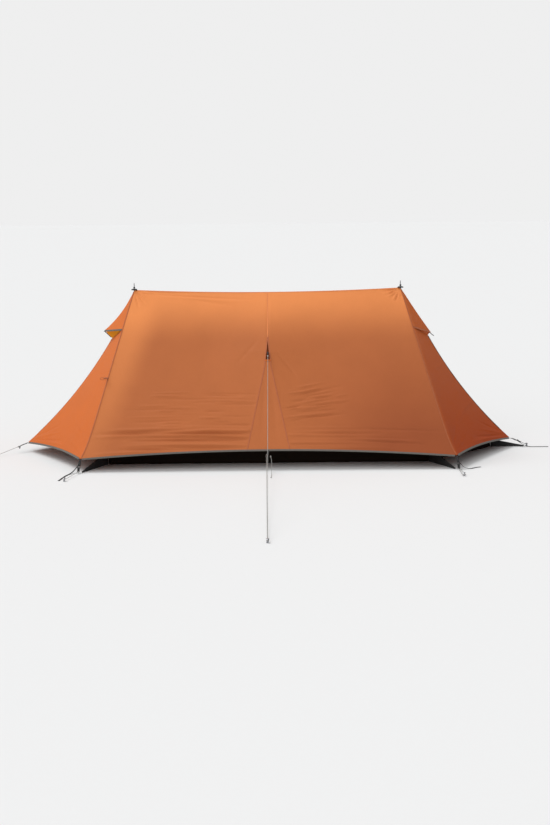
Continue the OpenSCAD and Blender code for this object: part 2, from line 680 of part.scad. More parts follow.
right_cord_path = [
  [1248, -918, 14], [1250, -960, 13], [1252, -1010, 12], [1252, -1060, 11], [1251, -1100, 10],
  [1251, -1118, 10], [1254, -1127, 10], [1262, -1131, 10], [1270, -1127, 10], [1273, -1118, 10],
  [1272, -1100, 10], [1268, -1060, 11], [1264, -1010, 12], [1262, -960, 13], [1260, -918, 14]];
module front_right_cord() { color(LINE) cord(right_cord_path); }
tail_w = 12;
left_tail_path = [
  [-1272, -886, 34], [-1282, -892, 22], [-1292, -902, 12], [-1302, -918, 6], [-1311, -940, 3],
  [-1320, -965, 2], [-1328, -1000, 2], [-1334, -1040, 2], [-1339, -1080, 2], [-1344, -1120, 2],
  [-1350, -1160, 2]];
module front_left_tail() { color(BLACK) strap(left_tail_path, [0, 0, 1], tail_w); }
right_tail_path = [
  [1272, -886, 34], [1284, -884, 22], [1297, -880, 12], [1312, -876, 6], [1330, -874, 3],
  [1348, -862, 2], [1362, -846, 2], [1378, -830, 2], [1394, -820, 2], [1412, -812, 2]];
module front_right_tail() { color(BLACK) strap(right_tail_path, [0, 0, 1], tail_w); }
end_tail_path = [
  [1796, -20, 36], [1810, -23, 26], [1826, -26, 17], [1844, -28, 9], [1862, -30, 4],
  [1885, -31, 2], [1910, -32, 2], [1940, -33, 2], [1970, -34, 2], [2004, -35, 2]];
module right_end_tail() { color(BLACK) strap(end_tail_path, [0, 0, 1], tail_w); }

fly_front_panels();
fly_back_panels();
fly_gussets();
vent_hoods();
fly_end_panels();
left_door();
right_door();
edge_binding();
left_door_binding();
right_door_binding();
peak_patches();
grommets();
guy_loops();
left_vent_strut();
right_vent_strut();
door_zips();
left_zip_slider();
right_zip_slider();
door_tiebacks();
inner_floor();
inner_wall();
inner_side_mesh();
inner_end_mesh();
inner_door();
inner_ties();
pole_grips();
pole_wrist_straps();
pole_upper_tubes();
pole_lower_locks();
left_pole_middle();
left_pole_upper_lock();
left_pole_tip();
right_pole_middle();
right_pole_upper_lock();
right_pole_tip();
left_lower_lever();
left_upper_lever();
right_lower_lever();
right_upper_lever();
corner_webbing();
front_left_buckle();
front_right_buckle();
right_end_buckle();
peg_front_left();
peg_front_right();
peg_back_left();
peg_back_right();
peg_left_end();
peg_right_end();
peg_front_guy();
front_guy();
front_hem_guy();
front_hem_tail();
hem_adjuster();
left_guy();
front_left_cord();
front_right_cord();
front_left_tail();
front_right_tail();
right_end_tail();
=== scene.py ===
"""Ridge tent pitched on two poles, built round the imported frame.

Metres, X along the ridge, the guyed front at -Y, the ground at z = 0. Each surface of the fly
is a function of its driving sizes, as in the frame; cloth is a fine grid on that function,
pushed along its normal by creases, and tapes, seams and stitches follow the same lines.
"""
import json
import math
import random

import bmesh
import bpy
import numpy as np
from mathutils import Matrix, Vector

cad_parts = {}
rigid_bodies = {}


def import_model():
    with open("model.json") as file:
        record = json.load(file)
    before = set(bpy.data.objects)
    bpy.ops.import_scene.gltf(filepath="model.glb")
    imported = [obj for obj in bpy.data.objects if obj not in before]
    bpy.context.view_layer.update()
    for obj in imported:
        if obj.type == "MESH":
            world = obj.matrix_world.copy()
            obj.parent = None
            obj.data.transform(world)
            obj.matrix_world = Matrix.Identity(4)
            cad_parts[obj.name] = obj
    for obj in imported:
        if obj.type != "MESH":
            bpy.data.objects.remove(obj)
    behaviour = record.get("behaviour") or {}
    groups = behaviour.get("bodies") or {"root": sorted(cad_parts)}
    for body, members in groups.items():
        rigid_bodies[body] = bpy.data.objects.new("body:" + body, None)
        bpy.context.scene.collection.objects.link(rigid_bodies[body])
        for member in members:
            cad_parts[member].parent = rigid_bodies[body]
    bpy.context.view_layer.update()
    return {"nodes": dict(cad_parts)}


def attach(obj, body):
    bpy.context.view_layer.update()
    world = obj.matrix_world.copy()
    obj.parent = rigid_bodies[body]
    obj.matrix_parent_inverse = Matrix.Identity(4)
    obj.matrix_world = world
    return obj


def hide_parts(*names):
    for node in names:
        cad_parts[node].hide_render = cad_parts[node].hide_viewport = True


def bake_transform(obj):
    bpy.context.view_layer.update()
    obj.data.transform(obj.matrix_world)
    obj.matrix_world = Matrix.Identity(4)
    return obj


for leftover in list(bpy.data.objects):
    bpy.data.objects.remove(leftover)
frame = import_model()

# Sizes of the fly
RIDGE_H, RIDGE_HALF, RIDGE_SAG = 1.150, 0.943, 0.023
CORNER_X, CORNER_Y, CORNER_Z = 1.247, 0.852, 0.089
HEM_Y, HEM_Z = 0.826, 0.135
TIP_X, TIP_Z = 1.730, 0.066
SEAM_BOW, END_SAG, HEM_ARCH = 0.024, 0.038, 0.025
DOOR_GAP = 0.002
APEX, APEX_PULL, PULL_REACH, GUSSET_HALF = 0.39, 0.060, 0.420, 0.141
VENT = 0.244
LEFT, RIGHT = 0, 1
END_NAME, SIDE_NAME = ("left", "right"), ("front", "back")
QUARTERS = [(end, back) for end in (LEFT, RIGHT) for back in (False, True)]
VENT_OUT, VENT_DOWN = (0.167, 0.199), 0.343
LIP_OUT, LIP_DOWN, HOOD_SAG = (0.218, 0.213), (0.285, 0.314), (0.020, 0.003)
# Sizes of the inner tent
FLOOR_X, FLOOR_Y, FLOOR_POINT, FLOOR_NOTCH = 1.090, 0.575, 1.590, 0.225
WALL_H, INNER_HALF, INNER_TOP, INNER_DOOR_Y = 0.120, 0.800, 0.920, 0.040
CLOTH = 0.0007
PANEL_LEN, END_LEN = math.hypot(HEM_Y, RIDGE_H - HEM_Z), 1.39


# Camera
def add_camera():
    yaw, pitch, roll = math.radians(0.014), math.radians(8.271), math.radians(-0.552)
    forward = Vector((math.sin(yaw) * math.cos(pitch), math.cos(yaw) * math.cos(pitch), -math.sin(pitch)))
    right = Vector((math.cos(yaw), -math.sin(yaw), 0))
    up = right.cross(forward)
    across = right * math.cos(roll) + up * math.sin(roll)
    upright = up * math.cos(roll) - right * math.sin(roll)
    data = bpy.data.cameras.new("camera")
    data.lens = 65.0
    camera = bpy.data.objects.new("camera", data)
    bpy.context.scene.collection.objects.link(camera)
    camera.matrix_world = Matrix.Translation((0.0432, -10.5731, 1.7997)) @ Matrix(
        (across, upright, -forward)).transposed().to_4x4()
    bpy.context.scene.camera = camera


add_camera()


# Materials
def shader(tree, kind, inputs=None, **settings):
    """A node of that kind, with its settings, and its inputs linked or set."""
    made = tree.nodes.new("ShaderNode" + kind)
    for name, value in settings.items():
        setattr(made, name, value)
    for name, value in (inputs or {}).items():
        if isinstance(value, bpy.types.NodeSocket):
            tree.links.new(value, made.inputs[name])
        else:
            made.inputs[name].default_value = value
    return made


def math_node(tree, operation, a, b):
    return shader(tree, "Math", {0: a, 1: b}, operation=operation).outputs[0]


def mixed(tree, share, a, b):
    """A colour between a and b."""
    made = shader(tree, "Mix", data_type="RGBA")
    for index, value in ((0, share), (6, a), (7, b)):
        if isinstance(value, bpy.types.NodeSocket):
            tree.links.new(value, made.inputs[index])
        else:
            made.inputs[index].default_value = value if index == 0 else (*value, 1)
    return made.outputs[2]


def new_material(name, roughness, metallic=0.0, specular=0.5, sheen=0.0):
    material = bpy.data.materials.new(name)
    material.use_nodes = True
    tree = material.node_tree
    surface = tree.nodes["Principled BSDF"]
    surface.inputs["Roughness"].default_value = roughness
    surface.inputs["Metallic"].default_value = metallic
    surface.inputs["Specular IOR Level"].default_value = specular
    surface.inputs["Sheen Weight"].default_value = sheen
    return material, tree, surface


def noise(tree, place, scale, detail=3.0):
    return shader(tree, "TexNoise", {"Vector": place, "Scale": scale, "Detail": detail,
                                     "Roughness": 0.55}).outputs["Fac"]


def bumped(tree, surface, height, distance, strength=0.6):
    made = shader(tree, "Bump", {"Height": height, "Distance": distance, "Strength": strength})
    tree.links.new(made.outputs["Normal"], surface.inputs["Normal"])


def grid_lines(tree, place, pitch, thin):
    """1 on the lines of a square grid of that pitch on the UV map, which is in metres."""
    parts = shader(tree, "SeparateXYZ", {0: place})
    lines = []
    for axis in (0, 1):
        wave = math_node(tree, "PINGPONG", math_node(tree, "DIVIDE", parts.outputs[axis], pitch), 0.5)
        lines.append(math_node(tree, "LESS_THAN", wave, thin))
    return math_node(tree, "MAXIMUM", lines[0], lines[1])


def coated_cloth(name, deep, lit, roughness=0.5, through=0.0):
    """Coated ripstop with painted light and shade: its own mesh value glow mixes deep, the painted-shade colour,
    towards lit, the painted light that comes through the cloth, which is full where glow is 1.
    """
    material, tree, surface = new_material(name, roughness, specular=0.08)
    uv = shader(tree, "UVMap").outputs[0]
    place = shader(tree, "TexCoord").outputs["Object"]
    glow = shader(tree, "Attribute", attribute_name="glow").outputs["Fac"]
    mottle = noise(tree, place, 5.0, 4.0)
    base = mixed(tree, glow, deep, lit)
    darker = shader(tree, "HueSaturation", {"Value": 0.88, "Color": base}).outputs[0]
    base = mixed(tree, mottle, darker, base)
    lines = grid_lines(tree, uv, 0.0055, 0.06)
    ripstop = shader(tree, "HueSaturation", {"Value": 0.93, "Color": base}).outputs[0]
    base = mixed(tree, math_node(tree, "MULTIPLY", lines, 0.6), base, ripstop)
    tree.links.new(base, surface.inputs["Base Color"])
    # painted glow: where through is set, the painted colour is also emitted, though the cloth is no lamp
    if through:
        tree.links.new(base, surface.inputs["Emission Color"])
        surface.inputs["Emission Strength"].default_value = through
    fine = noise(tree, place, 900.0, 2.0)
    soft = noise(tree, place, 30.0, 3.0)
    height = math_node(tree, "ADD", math_node(tree, "MULTIPLY", lines, 0.25),
                       math_node(tree, "ADD", math_node(tree, "MULTIPLY", fine, 0.25), soft))
    bumped(tree, surface, height, 0.0016, 0.45)
    rough = math_node(tree, "ADD", math_node(tree, "MULTIPLY", mottle, 0.18), roughness - 0.09)
    tree.links.new(rough, surface.inputs["Roughness"])
    return material


def woven(name, dark, light, along, across, roughness=0.75, sheen=0.25, depth=0.0004):
    """Webbing or tape, whose UV map runs along and across it in metres."""
    material, tree, surface = new_material(name, roughness, sheen=sheen)
    uv = shader(tree, "UVMap").outputs[0]
    parts = shader(tree, "SeparateXYZ", {0: uv})
    first = math_node(tree, "PINGPONG", math_node(tree, "DIVIDE", parts.outputs[0], along), 0.5)
    shifted = math_node(tree, "ADD", parts.outputs[1], math_node(tree, "MULTIPLY", parts.outputs[0], 0.5))
    second = math_node(tree, "PINGPONG", math_node(tree, "DIVIDE", shifted, across), 0.5)
    weave = math_node(tree, "MULTIPLY", first, second)
    share = math_node(tree, "MULTIPLY", weave, 4.0)
    wear = noise(tree, shader(tree, "TexCoord").outputs["Object"], 60.0)
    tone = math_node(tree, "MULTIPLY", math_node(tree, "ADD", share, wear), 0.5)
    tree.links.new(mixed(tree, tone, dark, light), surface.inputs["Base Color"])
    bumped(tree, surface, share, depth, 0.7)
    return material


def solid(name, colour, worn, roughness, metallic=0.0, grain=400.0, specular=0.5, stretch=(1, 1, 1)):
    """Plastic, foam or metal with fine grain and slightly worn patches."""
    material, tree, surface = new_material(name, roughness, metallic, specular)
    place = shader(tree, "TexCoord").outputs["Object"]
    drawn = shader(tree, "Mapping", {"Vector": place, "Scale": stretch}).outputs[0]
    fine = noise(tree, drawn, grain, 2.0)
    patches = noise(tree, place, 35.0, 4.0)
    share = math_node(tree, "POWER", patches, 2.2)
    tree.links.new(mixed(tree, share, colour, worn), surface.inputs["Base Color"])
    rough = math_node(tree, "ADD", math_node(tree, "MULTIPLY", fine, 0.16), roughness - 0.08)
    tree.links.new(rough, surface.inputs["Roughness"])
    bumped(tree, surface, fine, 0.00025, 0.4)
    return material


def braided(name, dark, light):
    """Braided cord, with strands that cross at a slant round it."""
    material, tree, surface = new_material(name, 0.7, specular=0.3)
    place = shader(tree, "TexCoord").outputs["Object"]
    waves = []
    for slant in (0.7, -0.7):
        turned = shader(tree, "Mapping", {"Vector": place, "Rotation": (slant, 0.4, slant)}).outputs[0]
        waves.append(shader(tree, "TexWave", {"Vector": turned, "Scale": 260.0}).outputs["Fac"])
    strands = math_node(tree, "MAXIMUM", waves[0], waves[1])
    tree.links.new(mixed(tree, strands, dark, light), surface.inputs["Base Color"])
    bumped(tree, surface, strands, 0.0004, 0.6)
    return material


# Painted light and shade: each fly cloth holds a painted-shade colour and a painted-light colour, mixed by glow;
# the ends have their own copy, set to how they face the light
FLY = coated_cloth("fly", (0.325, 0.083, 0.030), (0.86, 0.292, 0.092))
FLY_END = coated_cloth("fly_end", (0.33, 0.038, 0.002), (0.70, 0.180, 0.040))
# Painted shade: a darker copy of the cloth for the recessed pocket under each pulled-out point
FLY_PAINTED_SHADE = coated_cloth("fly_painted_shade", (0.20, 0.048, 0.014), (0.45, 0.10, 0.02), 0.7)
# Painted light and glow: the left vent gore's cloth, painted bright and also emitted where light falls through it
GORE = coated_cloth("gore", (0.16, 0.035, 0.008), (0.98, 0.36, 0.03), 0.7, 0.45)
PATCH = coated_cloth("patch", (0.62, 0.15, 0.030), (0.76, 0.20, 0.04))
TRAY = coated_cloth("tray", (0.012, 0.006, 0.003), (0.03, 0.018, 0.01), 0.6)
NET = woven("net", (0.010, 0.007, 0.006), (0.05, 0.036, 0.03), 0.0022, 0.0022, 0.9, 0.1)
TAPE = woven("tape", (0.075, 0.067, 0.058), (0.175, 0.16, 0.14), 0.0014, 0.004, 0.8, 0.05)
# Painted light: seam_lit is the seam tape painted lighter, for the ridge and middle seams where the cloth's painted
# light is strongest; seam is the darker copy
SEAM_LIT = woven("seam_lit", (0.66, 0.205, 0.062), (0.84, 0.275, 0.085), 0.0016, 0.005, 0.8, 0.0)
SEAM = woven("seam", (0.36, 0.095, 0.033), (0.52, 0.145, 0.048), 0.0016, 0.005, 0.8, 0.0)
WEBBING = woven("webbing", (0.005, 0.005, 0.005), (0.022, 0.021, 0.021), 0.0018, 0.0026, 0.8, 0.02)
ZIP_TAPE = woven("zip_tape", (0.10, 0.03, 0.012), (0.22, 0.07, 0.03), 0.0012, 0.003)
CORD = braided("cord", (0.12, 0.115, 0.11), (0.42, 0.41, 0.39))
CORD_TIP = solid("cord_tip", (0.015, 0.015, 0.015), (0.04, 0.04, 0.04), 0.45)
THREAD = solid("thread", (0.32, 0.085, 0.028), (0.46, 0.13, 0.042), 0.8, specular=0.2)
THREAD_GREY = solid("thread_grey", (0.16, 0.15, 0.14), (0.24, 0.23, 0.22), 0.7)
PLASTIC = solid("black_plastic", (0.012, 0.012, 0.013), (0.05, 0.05, 0.052), 0.42)
LEVER = solid("lever_plastic", (0.10, 0.10, 0.105), (0.18, 0.18, 0.18), 0.4)
FOAM = solid("foam", (0.02, 0.02, 0.022), (0.05, 0.05, 0.052), 0.85, grain=700.0, specular=0.2)
TUBE = solid("tube", (0.30, 0.31, 0.33), (0.44, 0.45, 0.47), 0.3, 1.0, 600.0, stretch=(1, 1, 0.06))
STEEL = solid("steel", (0.34, 0.34, 0.35), (0.50, 0.50, 0.51), 0.3, 1.0)
PEG = solid("peg", (0.34, 0.35, 0.37), (0.55, 0.56, 0.58), 0.35, 1.0)
DARK_METAL = solid("dark_metal", (0.03, 0.03, 0.032), (0.12, 0.12, 0.12), 0.35, 0.9)
RUBBER = solid("rubber", (0.010, 0.010, 0.010), (0.035, 0.035, 0.036), 0.6, grain=900.0, specular=0.3)
BLACK_CORD = braided("cord_black", (0.010, 0.010, 0.010), (0.05, 0.05, 0.05))
FLOOR = solid("floor", (0.785, 0.785, 0.783), (0.795, 0.795, 0.793), 0.9, grain=40.0, specular=0.05)
TOGGLE = solid("toggle", (0.30, 0.085, 0.03), (0.42, 0.13, 0.05), 0.45)


# The fly's surface, for the right front quarter; s goes from ridge to hem
def lerp(a, b, t):
    return a + (b - a) * t


def unit(v):
    v = np.asarray(v, float)
    return v / np.maximum(np.linalg.norm(v, axis=-1, keepdims=True), 1e-9)


def points(x, y, z):
    return np.stack(np.broadcast_arrays(x, y, z), axis=-1).astype(float)


def half_width(s):
    return lerp(RIDGE_HALF, CORNER_X, s) - SEAM_BOW * s * (1 - s ** 16)


def seam(s):
    return points(half_width(s), -CORNER_Y * s, lerp(RIDGE_H, CORNER_Z, s))


def gusset_x(s):
    return GUSSET_HALF * np.maximum(0, s - APEX) / (1 - APEX)


def side_point(x, s):
    u = np.abs(x) / half_width(s)
    rising = (np.minimum(s, APEX) / APEX) ** 1.3
    pull_at = np.where(s < APEX, rising, (1 - s) / (1 - APEX))
    beside = np.maximum(0, 1 - np.maximum(0, np.abs(x) - gusset_x(s)) / PULL_REACH) ** 1.5
    y = -s * lerp(HEM_Y, CORNER_Y, u * u) - APEX_PULL * pull_at * beside
    z = lerp(RIDGE_H - RIDGE_SAG * (1 - u * u), lerp(HEM_Z, CORNER_Z, u * u), s)
    return points(x, y, z)


def sagging(a, b, sag, t):
    a, b = np.asarray(a, float), np.asarray(b, float)
    way = unit(b - a)
    hang = 4 * t * (1 - t) * sag
    return points(lerp(a[0], b[0], t) + hang * way[2], 0 * t, lerp(a[2], b[2], t) - hang * way[0])


def end_ridge(end, t):
    return sagging((RIDGE_HALF + VENT_OUT[end], 0, RIDGE_H - VENT_DOWN), (TIP_X, 0, TIP_Z), END_SAG, t)


def end_point(end, s, w):
    t = (s - VENT) / (1 - VENT)
    cut = t * (1 - HEM_ARCH * 4 * w * (1 - w))
    return lerp(seam(lerp(VENT, 1, cut)), end_ridge(end, cut), np.asarray(w, float)[..., None])


def hood_point(end, s, w):
    lip = (RIDGE_HALF + LIP_OUT[end], 0, RIDGE_H - LIP_DOWN[end])
    middle = sagging((RIDGE_HALF, 0, RIDGE_H), lip, HOOD_SAG[end], s / VENT)
    side = seam(s) * points(1, np.sign(w), 1)
    return lerp(middle, side, np.abs(np.asarray(w, float))[..., None])


def mirror(end, back):
    return np.array([-1.0 if end == LEFT else 1.0, -1.0 if back else 1.0, 1.0])


def placed(P, end=RIGHT, back=False):
    """The right front quarter's points, mirrored to the left end or to the back."""
    return P * mirror(end, back)


# Creases, in metres along and down a panel
def crease(u, v, a, b, width, depth):
    run = np.subtract(b, a)
    length = math.hypot(*run)
    along = ((u - a[0]) * run[0] + (v - a[1]) * run[1]) / length ** 2
    off = ((u - a[0]) * run[1] - (v - a[1]) * run[0]) / length
    fade = np.sin(np.pi * np.clip(along, 0, 1)) ** 0.8
    return depth * np.exp(-(off / width) ** 2) * fade


def creases(u, v, lines):
    total = np.zeros(np.broadcast(u, v).shape)
    for line in lines:
        total += crease(u, v, *line)
    return total


def band_of_creases(seed, count, u_range, v_range, length, slope, width, depth):
    """Near-parallel creases with seeded places, whose depths alternate up and down."""
    draw = random.Random(seed)
    lines = []
    for k in range(count):
        at = np.array([draw.uniform(*u_range), lerp(*v_range, (k + draw.random()) / count)])
        half = 0.5 * draw.uniform(*length)
        tilt = draw.uniform(*slope)
        run = np.array([half, half * tilt])
        sign = -1 if k % 2 else 1
        lines.append((at - run, at + run, draw.uniform(*width), sign * draw.uniform(*depth)))
    return lines


def fan_of_creases(seed, count, centre, angles, start, length, width, depth):
    """Creases that leave a point like the ribs of a fan."""
    draw = random.Random(seed)
    lines = []
    for k in range(count):
        turn = math.radians(lerp(*angles, (k + 0.3 + 0.4 * draw.random()) / count))
        way = np.array([math.cos(turn), math.sin(turn)])
        a = np.asarray(centre) + way * start * draw.uniform(0.7, 1.3)
        sign = -1 if k % 2 else 1
        lines.append((a, a + way * draw.uniform(*length), draw.uniform(*width), sign * draw.uniform(*depth)))
    return lines


# Mesh building
def linked(name, mesh, material, smooth=True):
    piece = bpy.data.objects.new(name, mesh)
    bpy.context.scene.collection.objects.link(piece)
    mesh.materials.append(material)
    mesh.polygons.foreach_set("use_smooth", [smooth] * len(mesh.polygons))
    return piece


def mesh_of(name, verts, faces, uvs=None, glow=None):
    mesh = bpy.data.meshes.new(name)
    mesh.from_pydata([tuple(v) for v in verts], [], [tuple(f) for f in faces])
    mesh.update()
    if uvs is not None:
        layer = mesh.uv_layers.new(name="UVMap")
        corner = np.empty(len(mesh.loops), int)
        mesh.loops.foreach_get("vertex_index", corner)
        layer.data.foreach_set("uv", np.asarray(uvs, float)[corner].ravel())
    if glow is not None:
        mesh.attributes.new("glow", "FLOAT", "POINT").data.foreach_set("value", np.asarray(glow, float).ravel())
    return mesh


def grid_faces(rows, cols, flip):
    index = np.arange(rows * cols).reshape(rows, cols)
    a, b, c, d = index[:-1, :-1], index[1:, :-1], index[1:, 1:], index[:-1, 1:]
    order = (d, c, b, a) if flip else (a, b, c, d)
    return np.stack([q.ravel() for q in order], axis=1).tolist()


def thickened(piece, thick, offset):
    solidify = piece.modifiers.new("thickness", "SOLIDIFY")
    solidify.thickness = thick
    solidify.offset = offset
    return piece


def pushed(P, height):
    """A grid of points moved along its own normals."""
    down, along = np.gradient(P, axis=0), np.gradient(P, axis=1)
    return P + unit(np.cross(down, along)) * height[..., None]


def cloth(name, P, u, v, material, glow, end=RIGHT, back=False):
    """A grid of points of the right front quarter as a thin sheet, mirrored where asked."""
    rows, cols = P.shape[:2]
    uv = points(u, v, 0)[..., :2].reshape(-1, 2)
    faces = grid_faces(rows, cols, (end == LEFT) != back)
    mesh = mesh_of(name, placed(P, end, back).reshape(-1, 3), faces, uv, glow)
    return thickened(linked(name, mesh, material), CLOTH, -1)


def run_along(path):
    """How far along a path each of its points is."""
    return np.concatenate([[0], np.cumsum(np.linalg.norm(np.diff(path, axis=0), axis=1))])


def at_run(path, run, at):
    """The points that are that far along a path."""
    return np.stack([np.interp(at, run, path[:, k]) for k in range(path.shape[1])], axis=-1)


def ring_faces(rings, sides, closed=False, capped=True):
    """Faces between rings of points, and over the first and last ring where they are capped."""
    faces = [(k * sides + q, k * sides + (q + 1) % sides, (k + 1) % rings * sides + (q + 1) % sides,
              (k + 1) % rings * sides + q) for k in range(rings if closed else rings - 1) for q in range(sides)]
    if capped and not closed:
        faces += [tuple(range(sides - 1, -1, -1)), tuple(range((rings - 1) * sides, rings * sides))]
    return faces


def shell(name, verts, faces, material, uvs=None, sharp=None):
    """A mesh with its normals outward, and its edges above a sharp angle kept sharp."""
    mesh = mesh_of(name, verts, faces, uvs)
    made = bmesh.new()
    made.from_mesh(mesh)
    bmesh.ops.recalc_face_normals(made, faces=made.faces)
    made.to_mesh(mesh)
    made.free()
    if sharp:
        mesh.set_sharp_from_angle(angle=math.radians(sharp))
    return linked(name, mesh, material)


def strip(name, path, across, width, thick, material):
    """A strap or tape along path. Its UV map runs along it and across it, in metres."""
    path, across = np.asarray(path, float), unit(across) * np.ones((len(path), 1))
    tangent = unit(np.gradient(path, axis=0))
    across = unit(across - np.sum(across * tangent, axis=1, keepdims=True) * tangent)
    up = np.cross(across, tangent)
    w, t = width / 2, thick / 2
    outline = [(-w, 0), (-w + t, -t), (w - t, -t), (w, 0), (w - t, t), (-w + t, t)]
    verts = [p + a * side + b * over for p, side, over in zip(path, across, up) for a, b in outline]
    uvs = [(q, a + (w if b < 0 else 0)) for q in run_along(path) for a, b in outline]
    return shell(name, verts, ring_faces(len(path), len(outline)), material, uvs, 50)


def stitches(name, rows, material, pitch=0.0042, length=0.0030, radius=0.00035):
    """Threads along rows of points, as small spindles, all in one mesh."""
    verts, faces = [], []
    for path in rows:
        path = np.asarray(path, float)
        run = run_along(path)
        for at in np.arange(pitch, run[-1] - pitch, pitch):
            a, b = (at_run(path, run, q) for q in (at, at + length))
            way = unit(b - a)
            side = unit(np.cross(way, (0.31, 0.42, 0.85)))
            over = np.cross(side, way)
            first = len(verts)
            verts.append(a)
            middle = (a + b) / 2
            for q in range(4):
                turn = q * math.pi / 2
                verts.append(middle + radius * (math.cos(turn) * side + math.sin(turn) * over))
            verts.append(b)
            for q in range(4):
                n = first + 1 + (q + 1) % 4
                faces += [(first, n, first + 1 + q), (first + 5, first + 1 + q, n)]
    return linked(name, mesh_of(name, verts, faces), material, smooth=False)


def lathe(name, profile, at, material, axis=(0, 0, 1), segments=40):
    """A turned shape: (radius, height) pairs round an axis through at."""
    turn = Vector((0, 0, 1)).rotation_difference(Vector(axis)).to_matrix()
    angles = [2 * math.pi * k / segments for k in range(segments)]
    verts = [turn @ Vector((radius * math.cos(a), radius * math.sin(a), height)) + Vector(at)
             for radius, height in profile for a in angles]
    capped = profile[0][0] > 1e-6 and profile[0] != profile[-1]
    return shell(name, verts, ring_faces(len(profile), segments, capped=capped), material, sharp=40)


def tube(name, path, radius, material, sides=10, closed=False):
    """A round rod, cord or ring along points, as a mesh."""
    path = np.asarray(path, float)
    ahead = np.roll(path, -1, axis=0) - np.roll(path, 1, axis=0) if closed else np.gradient(path, axis=0)
    tangent = unit(ahead)
    side = unit(np.cross(tangent[0], (0.3, 0.5, 0.81)))
    turns = 2 * math.pi * np.arange(sides) / sides
    verts = []
    for at, way in zip(path, tangent):
        side = unit(side - np.dot(side, way) * way)
        over = np.cross(way, side)
        verts += [at + radius * (math.cos(t) * side + math.sin(t) * over) for t in turns]
    return shell(name, verts, ring_faces(len(path), sides, closed), material)


def ring_path(centre, a, b, radius, count=32):
    """Points round a circle in the plane of the unit vectors a and b."""
    centre, a, b = (np.asarray(v) for v in (centre, a, b))
    return [centre + radius * (math.cos(t) * a + math.sin(t) * b) for t in 2 * math.pi * np.arange(count) / count]


def smooth_path(knots, count):
    """A Catmull-Rom curve through the knots."""
    K = np.asarray(knots, float)
    K = np.vstack([2 * K[0] - K[1], K, 2 * K[-1] - K[-2]])
    out = []
    for q in np.linspace(0, len(K) - 3 - 1e-9, count):
        i, t = int(q), q - int(q)
        p0, p1, p2, p3 = K[i:i + 4]
        out.append(0.5 * (2 * p1 + (p2 - p0) * t + (2 * p0 - 5 * p1 + 4 * p2 - p3) * t * t
                          + (3 * p1 - p0 - 3 * p2 + p3) * t ** 3))
    return np.array(out)


def joined(name, pieces):
    """Several meshes of one material as one piece."""
    verts, faces, uvs = [], [], []
    material = pieces[0].data.materials[0]
    for piece in pieces:
        first = len(verts)
        mesh = piece.data
        verts += [tuple(v.co) for v in mesh.vertices]
        faces += [tuple(first + i for i in p.vertices) for p in mesh.polygons]
        layer = mesh.uv_layers.active
        own = [(0.0, 0.0)] * len(mesh.vertices)
        if layer:
            for loop in mesh.loops:
                own[loop.vertex_index] = tuple(layer.data[loop.index].uv)
        uvs += own
        bpy.data.objects.remove(piece)
    mesh = mesh_of(name, verts, faces, uvs)
    mesh.set_sharp_from_angle(angle=math.radians(45))
    return linked(name, mesh, material)


def rode(piece, body, slot, *replaced):
    """The piece rides on a body and stands for CAD nodes, which it hides; slot is not used."""
    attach(piece, body)
    if replaced:
        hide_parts(*replaced)
    return piece


def cord_piece(node, knots):
    """A round cord as one curve, which stands for its CAD tube."""
    path = smooth_path(knots, max(24, 3 * len(knots)))
    curve = bpy.data.curves.new(node + "_line", "CURVE")
    curve.dimensions = "3D"
    curve.bevel_depth = CORD_R
    curve.bevel_resolution = 3
    curve.use_fill_caps = True
    spline = curve.splines.new("POLY")
    spline.points.add(len(path) - 1)
    spline.points.foreach_set("co", [q for p in path for q in (*p, 1.0)])
    curve.materials.append(CORD)
    piece = bpy.data.objects.new(node + "_line", curve)
    bpy.context.scene.collection.objects.link(piece)
    rode(piece, "shelter", "guy_cord", node)


def tail_piece(node, knots):
    """A strap's loose tail as a flat strip."""
    path = smooth_path(knots, 60)
    across = np.cross(unit(np.gradient(path, axis=0)), (0, 0, 1))
    piece = strip(node + "_strip", path, across, TAIL_W, 0.0016, WEBBING)
    rode(piece, "shelter", "black_webbing", node)


CORD_R, TAIL_W = 0.0015, 0.012
GUY_TOP, GUY_FOOT = (0, -0.441, 0.724), (0, -2.930, 0.015)
HEM_GUY_TOP, HEM_GUY_FOOT = (-0.014, -0.860, 0.110), (-0.002, -2.930, 0.008)
HEM_TAIL = [
    (0.014, -0.918, 0.104), (0.018, -0.930, 0.090), (0.020, -0.950, 0.066), (0.020, -0.975, 0.042),
    (0.019, -1.000, 0.024), (0.019, -1.025, 0.012), (0.018, -1.050, 0.005), (0.018, -1.075, 0.002),
    (0.017, -1.100, 0.0016), (0.016, -1.125, 0.0016)]
LEFT_GUY = [(-1.776, -0.063, 0.049), (-1.843, -0.155, 0.0315), (-1.910, -0.247, 0.014)]
LEFT_CORD = [(-1.254, -0.920, 0.014), (-1.280, -1.044, 0.013), (-1.306, -1.168, 0.012)]
RIGHT_CORD = [
    (1.248, -0.918, 0.014), (1.250, -0.960, 0.013), (1.252, -1.010, 0.012), (1.252, -1.060, 0.011),
    (1.251, -1.100, 0.010), (1.251, -1.118, 0.010), (1.254, -1.127, 0.010), (1.262, -1.131, 0.010),
    (1.270, -1.127, 0.010), (1.273, -1.118, 0.010), (1.272, -1.100, 0.010), (1.268, -1.060, 0.011),
    (1.264, -1.010, 0.012), (1.262, -0.960, 0.013), (1.260, -0.918, 0.014)]
LEFT_TAIL = [
    (-1.272, -0.886, 0.034), (-1.282, -0.892, 0.022), (-1.292, -0.902, 0.012), (-1.302, -0.918, 0.006),
    (-1.311, -0.940, 0.003), (-1.320, -0.965, 0.002), (-1.328, -1.000, 0.002), (-1.334, -1.040, 0.002),
    (-1.339, -1.080, 0.002), (-1.344, -1.120, 0.002), (-1.350, -1.160, 0.002)]
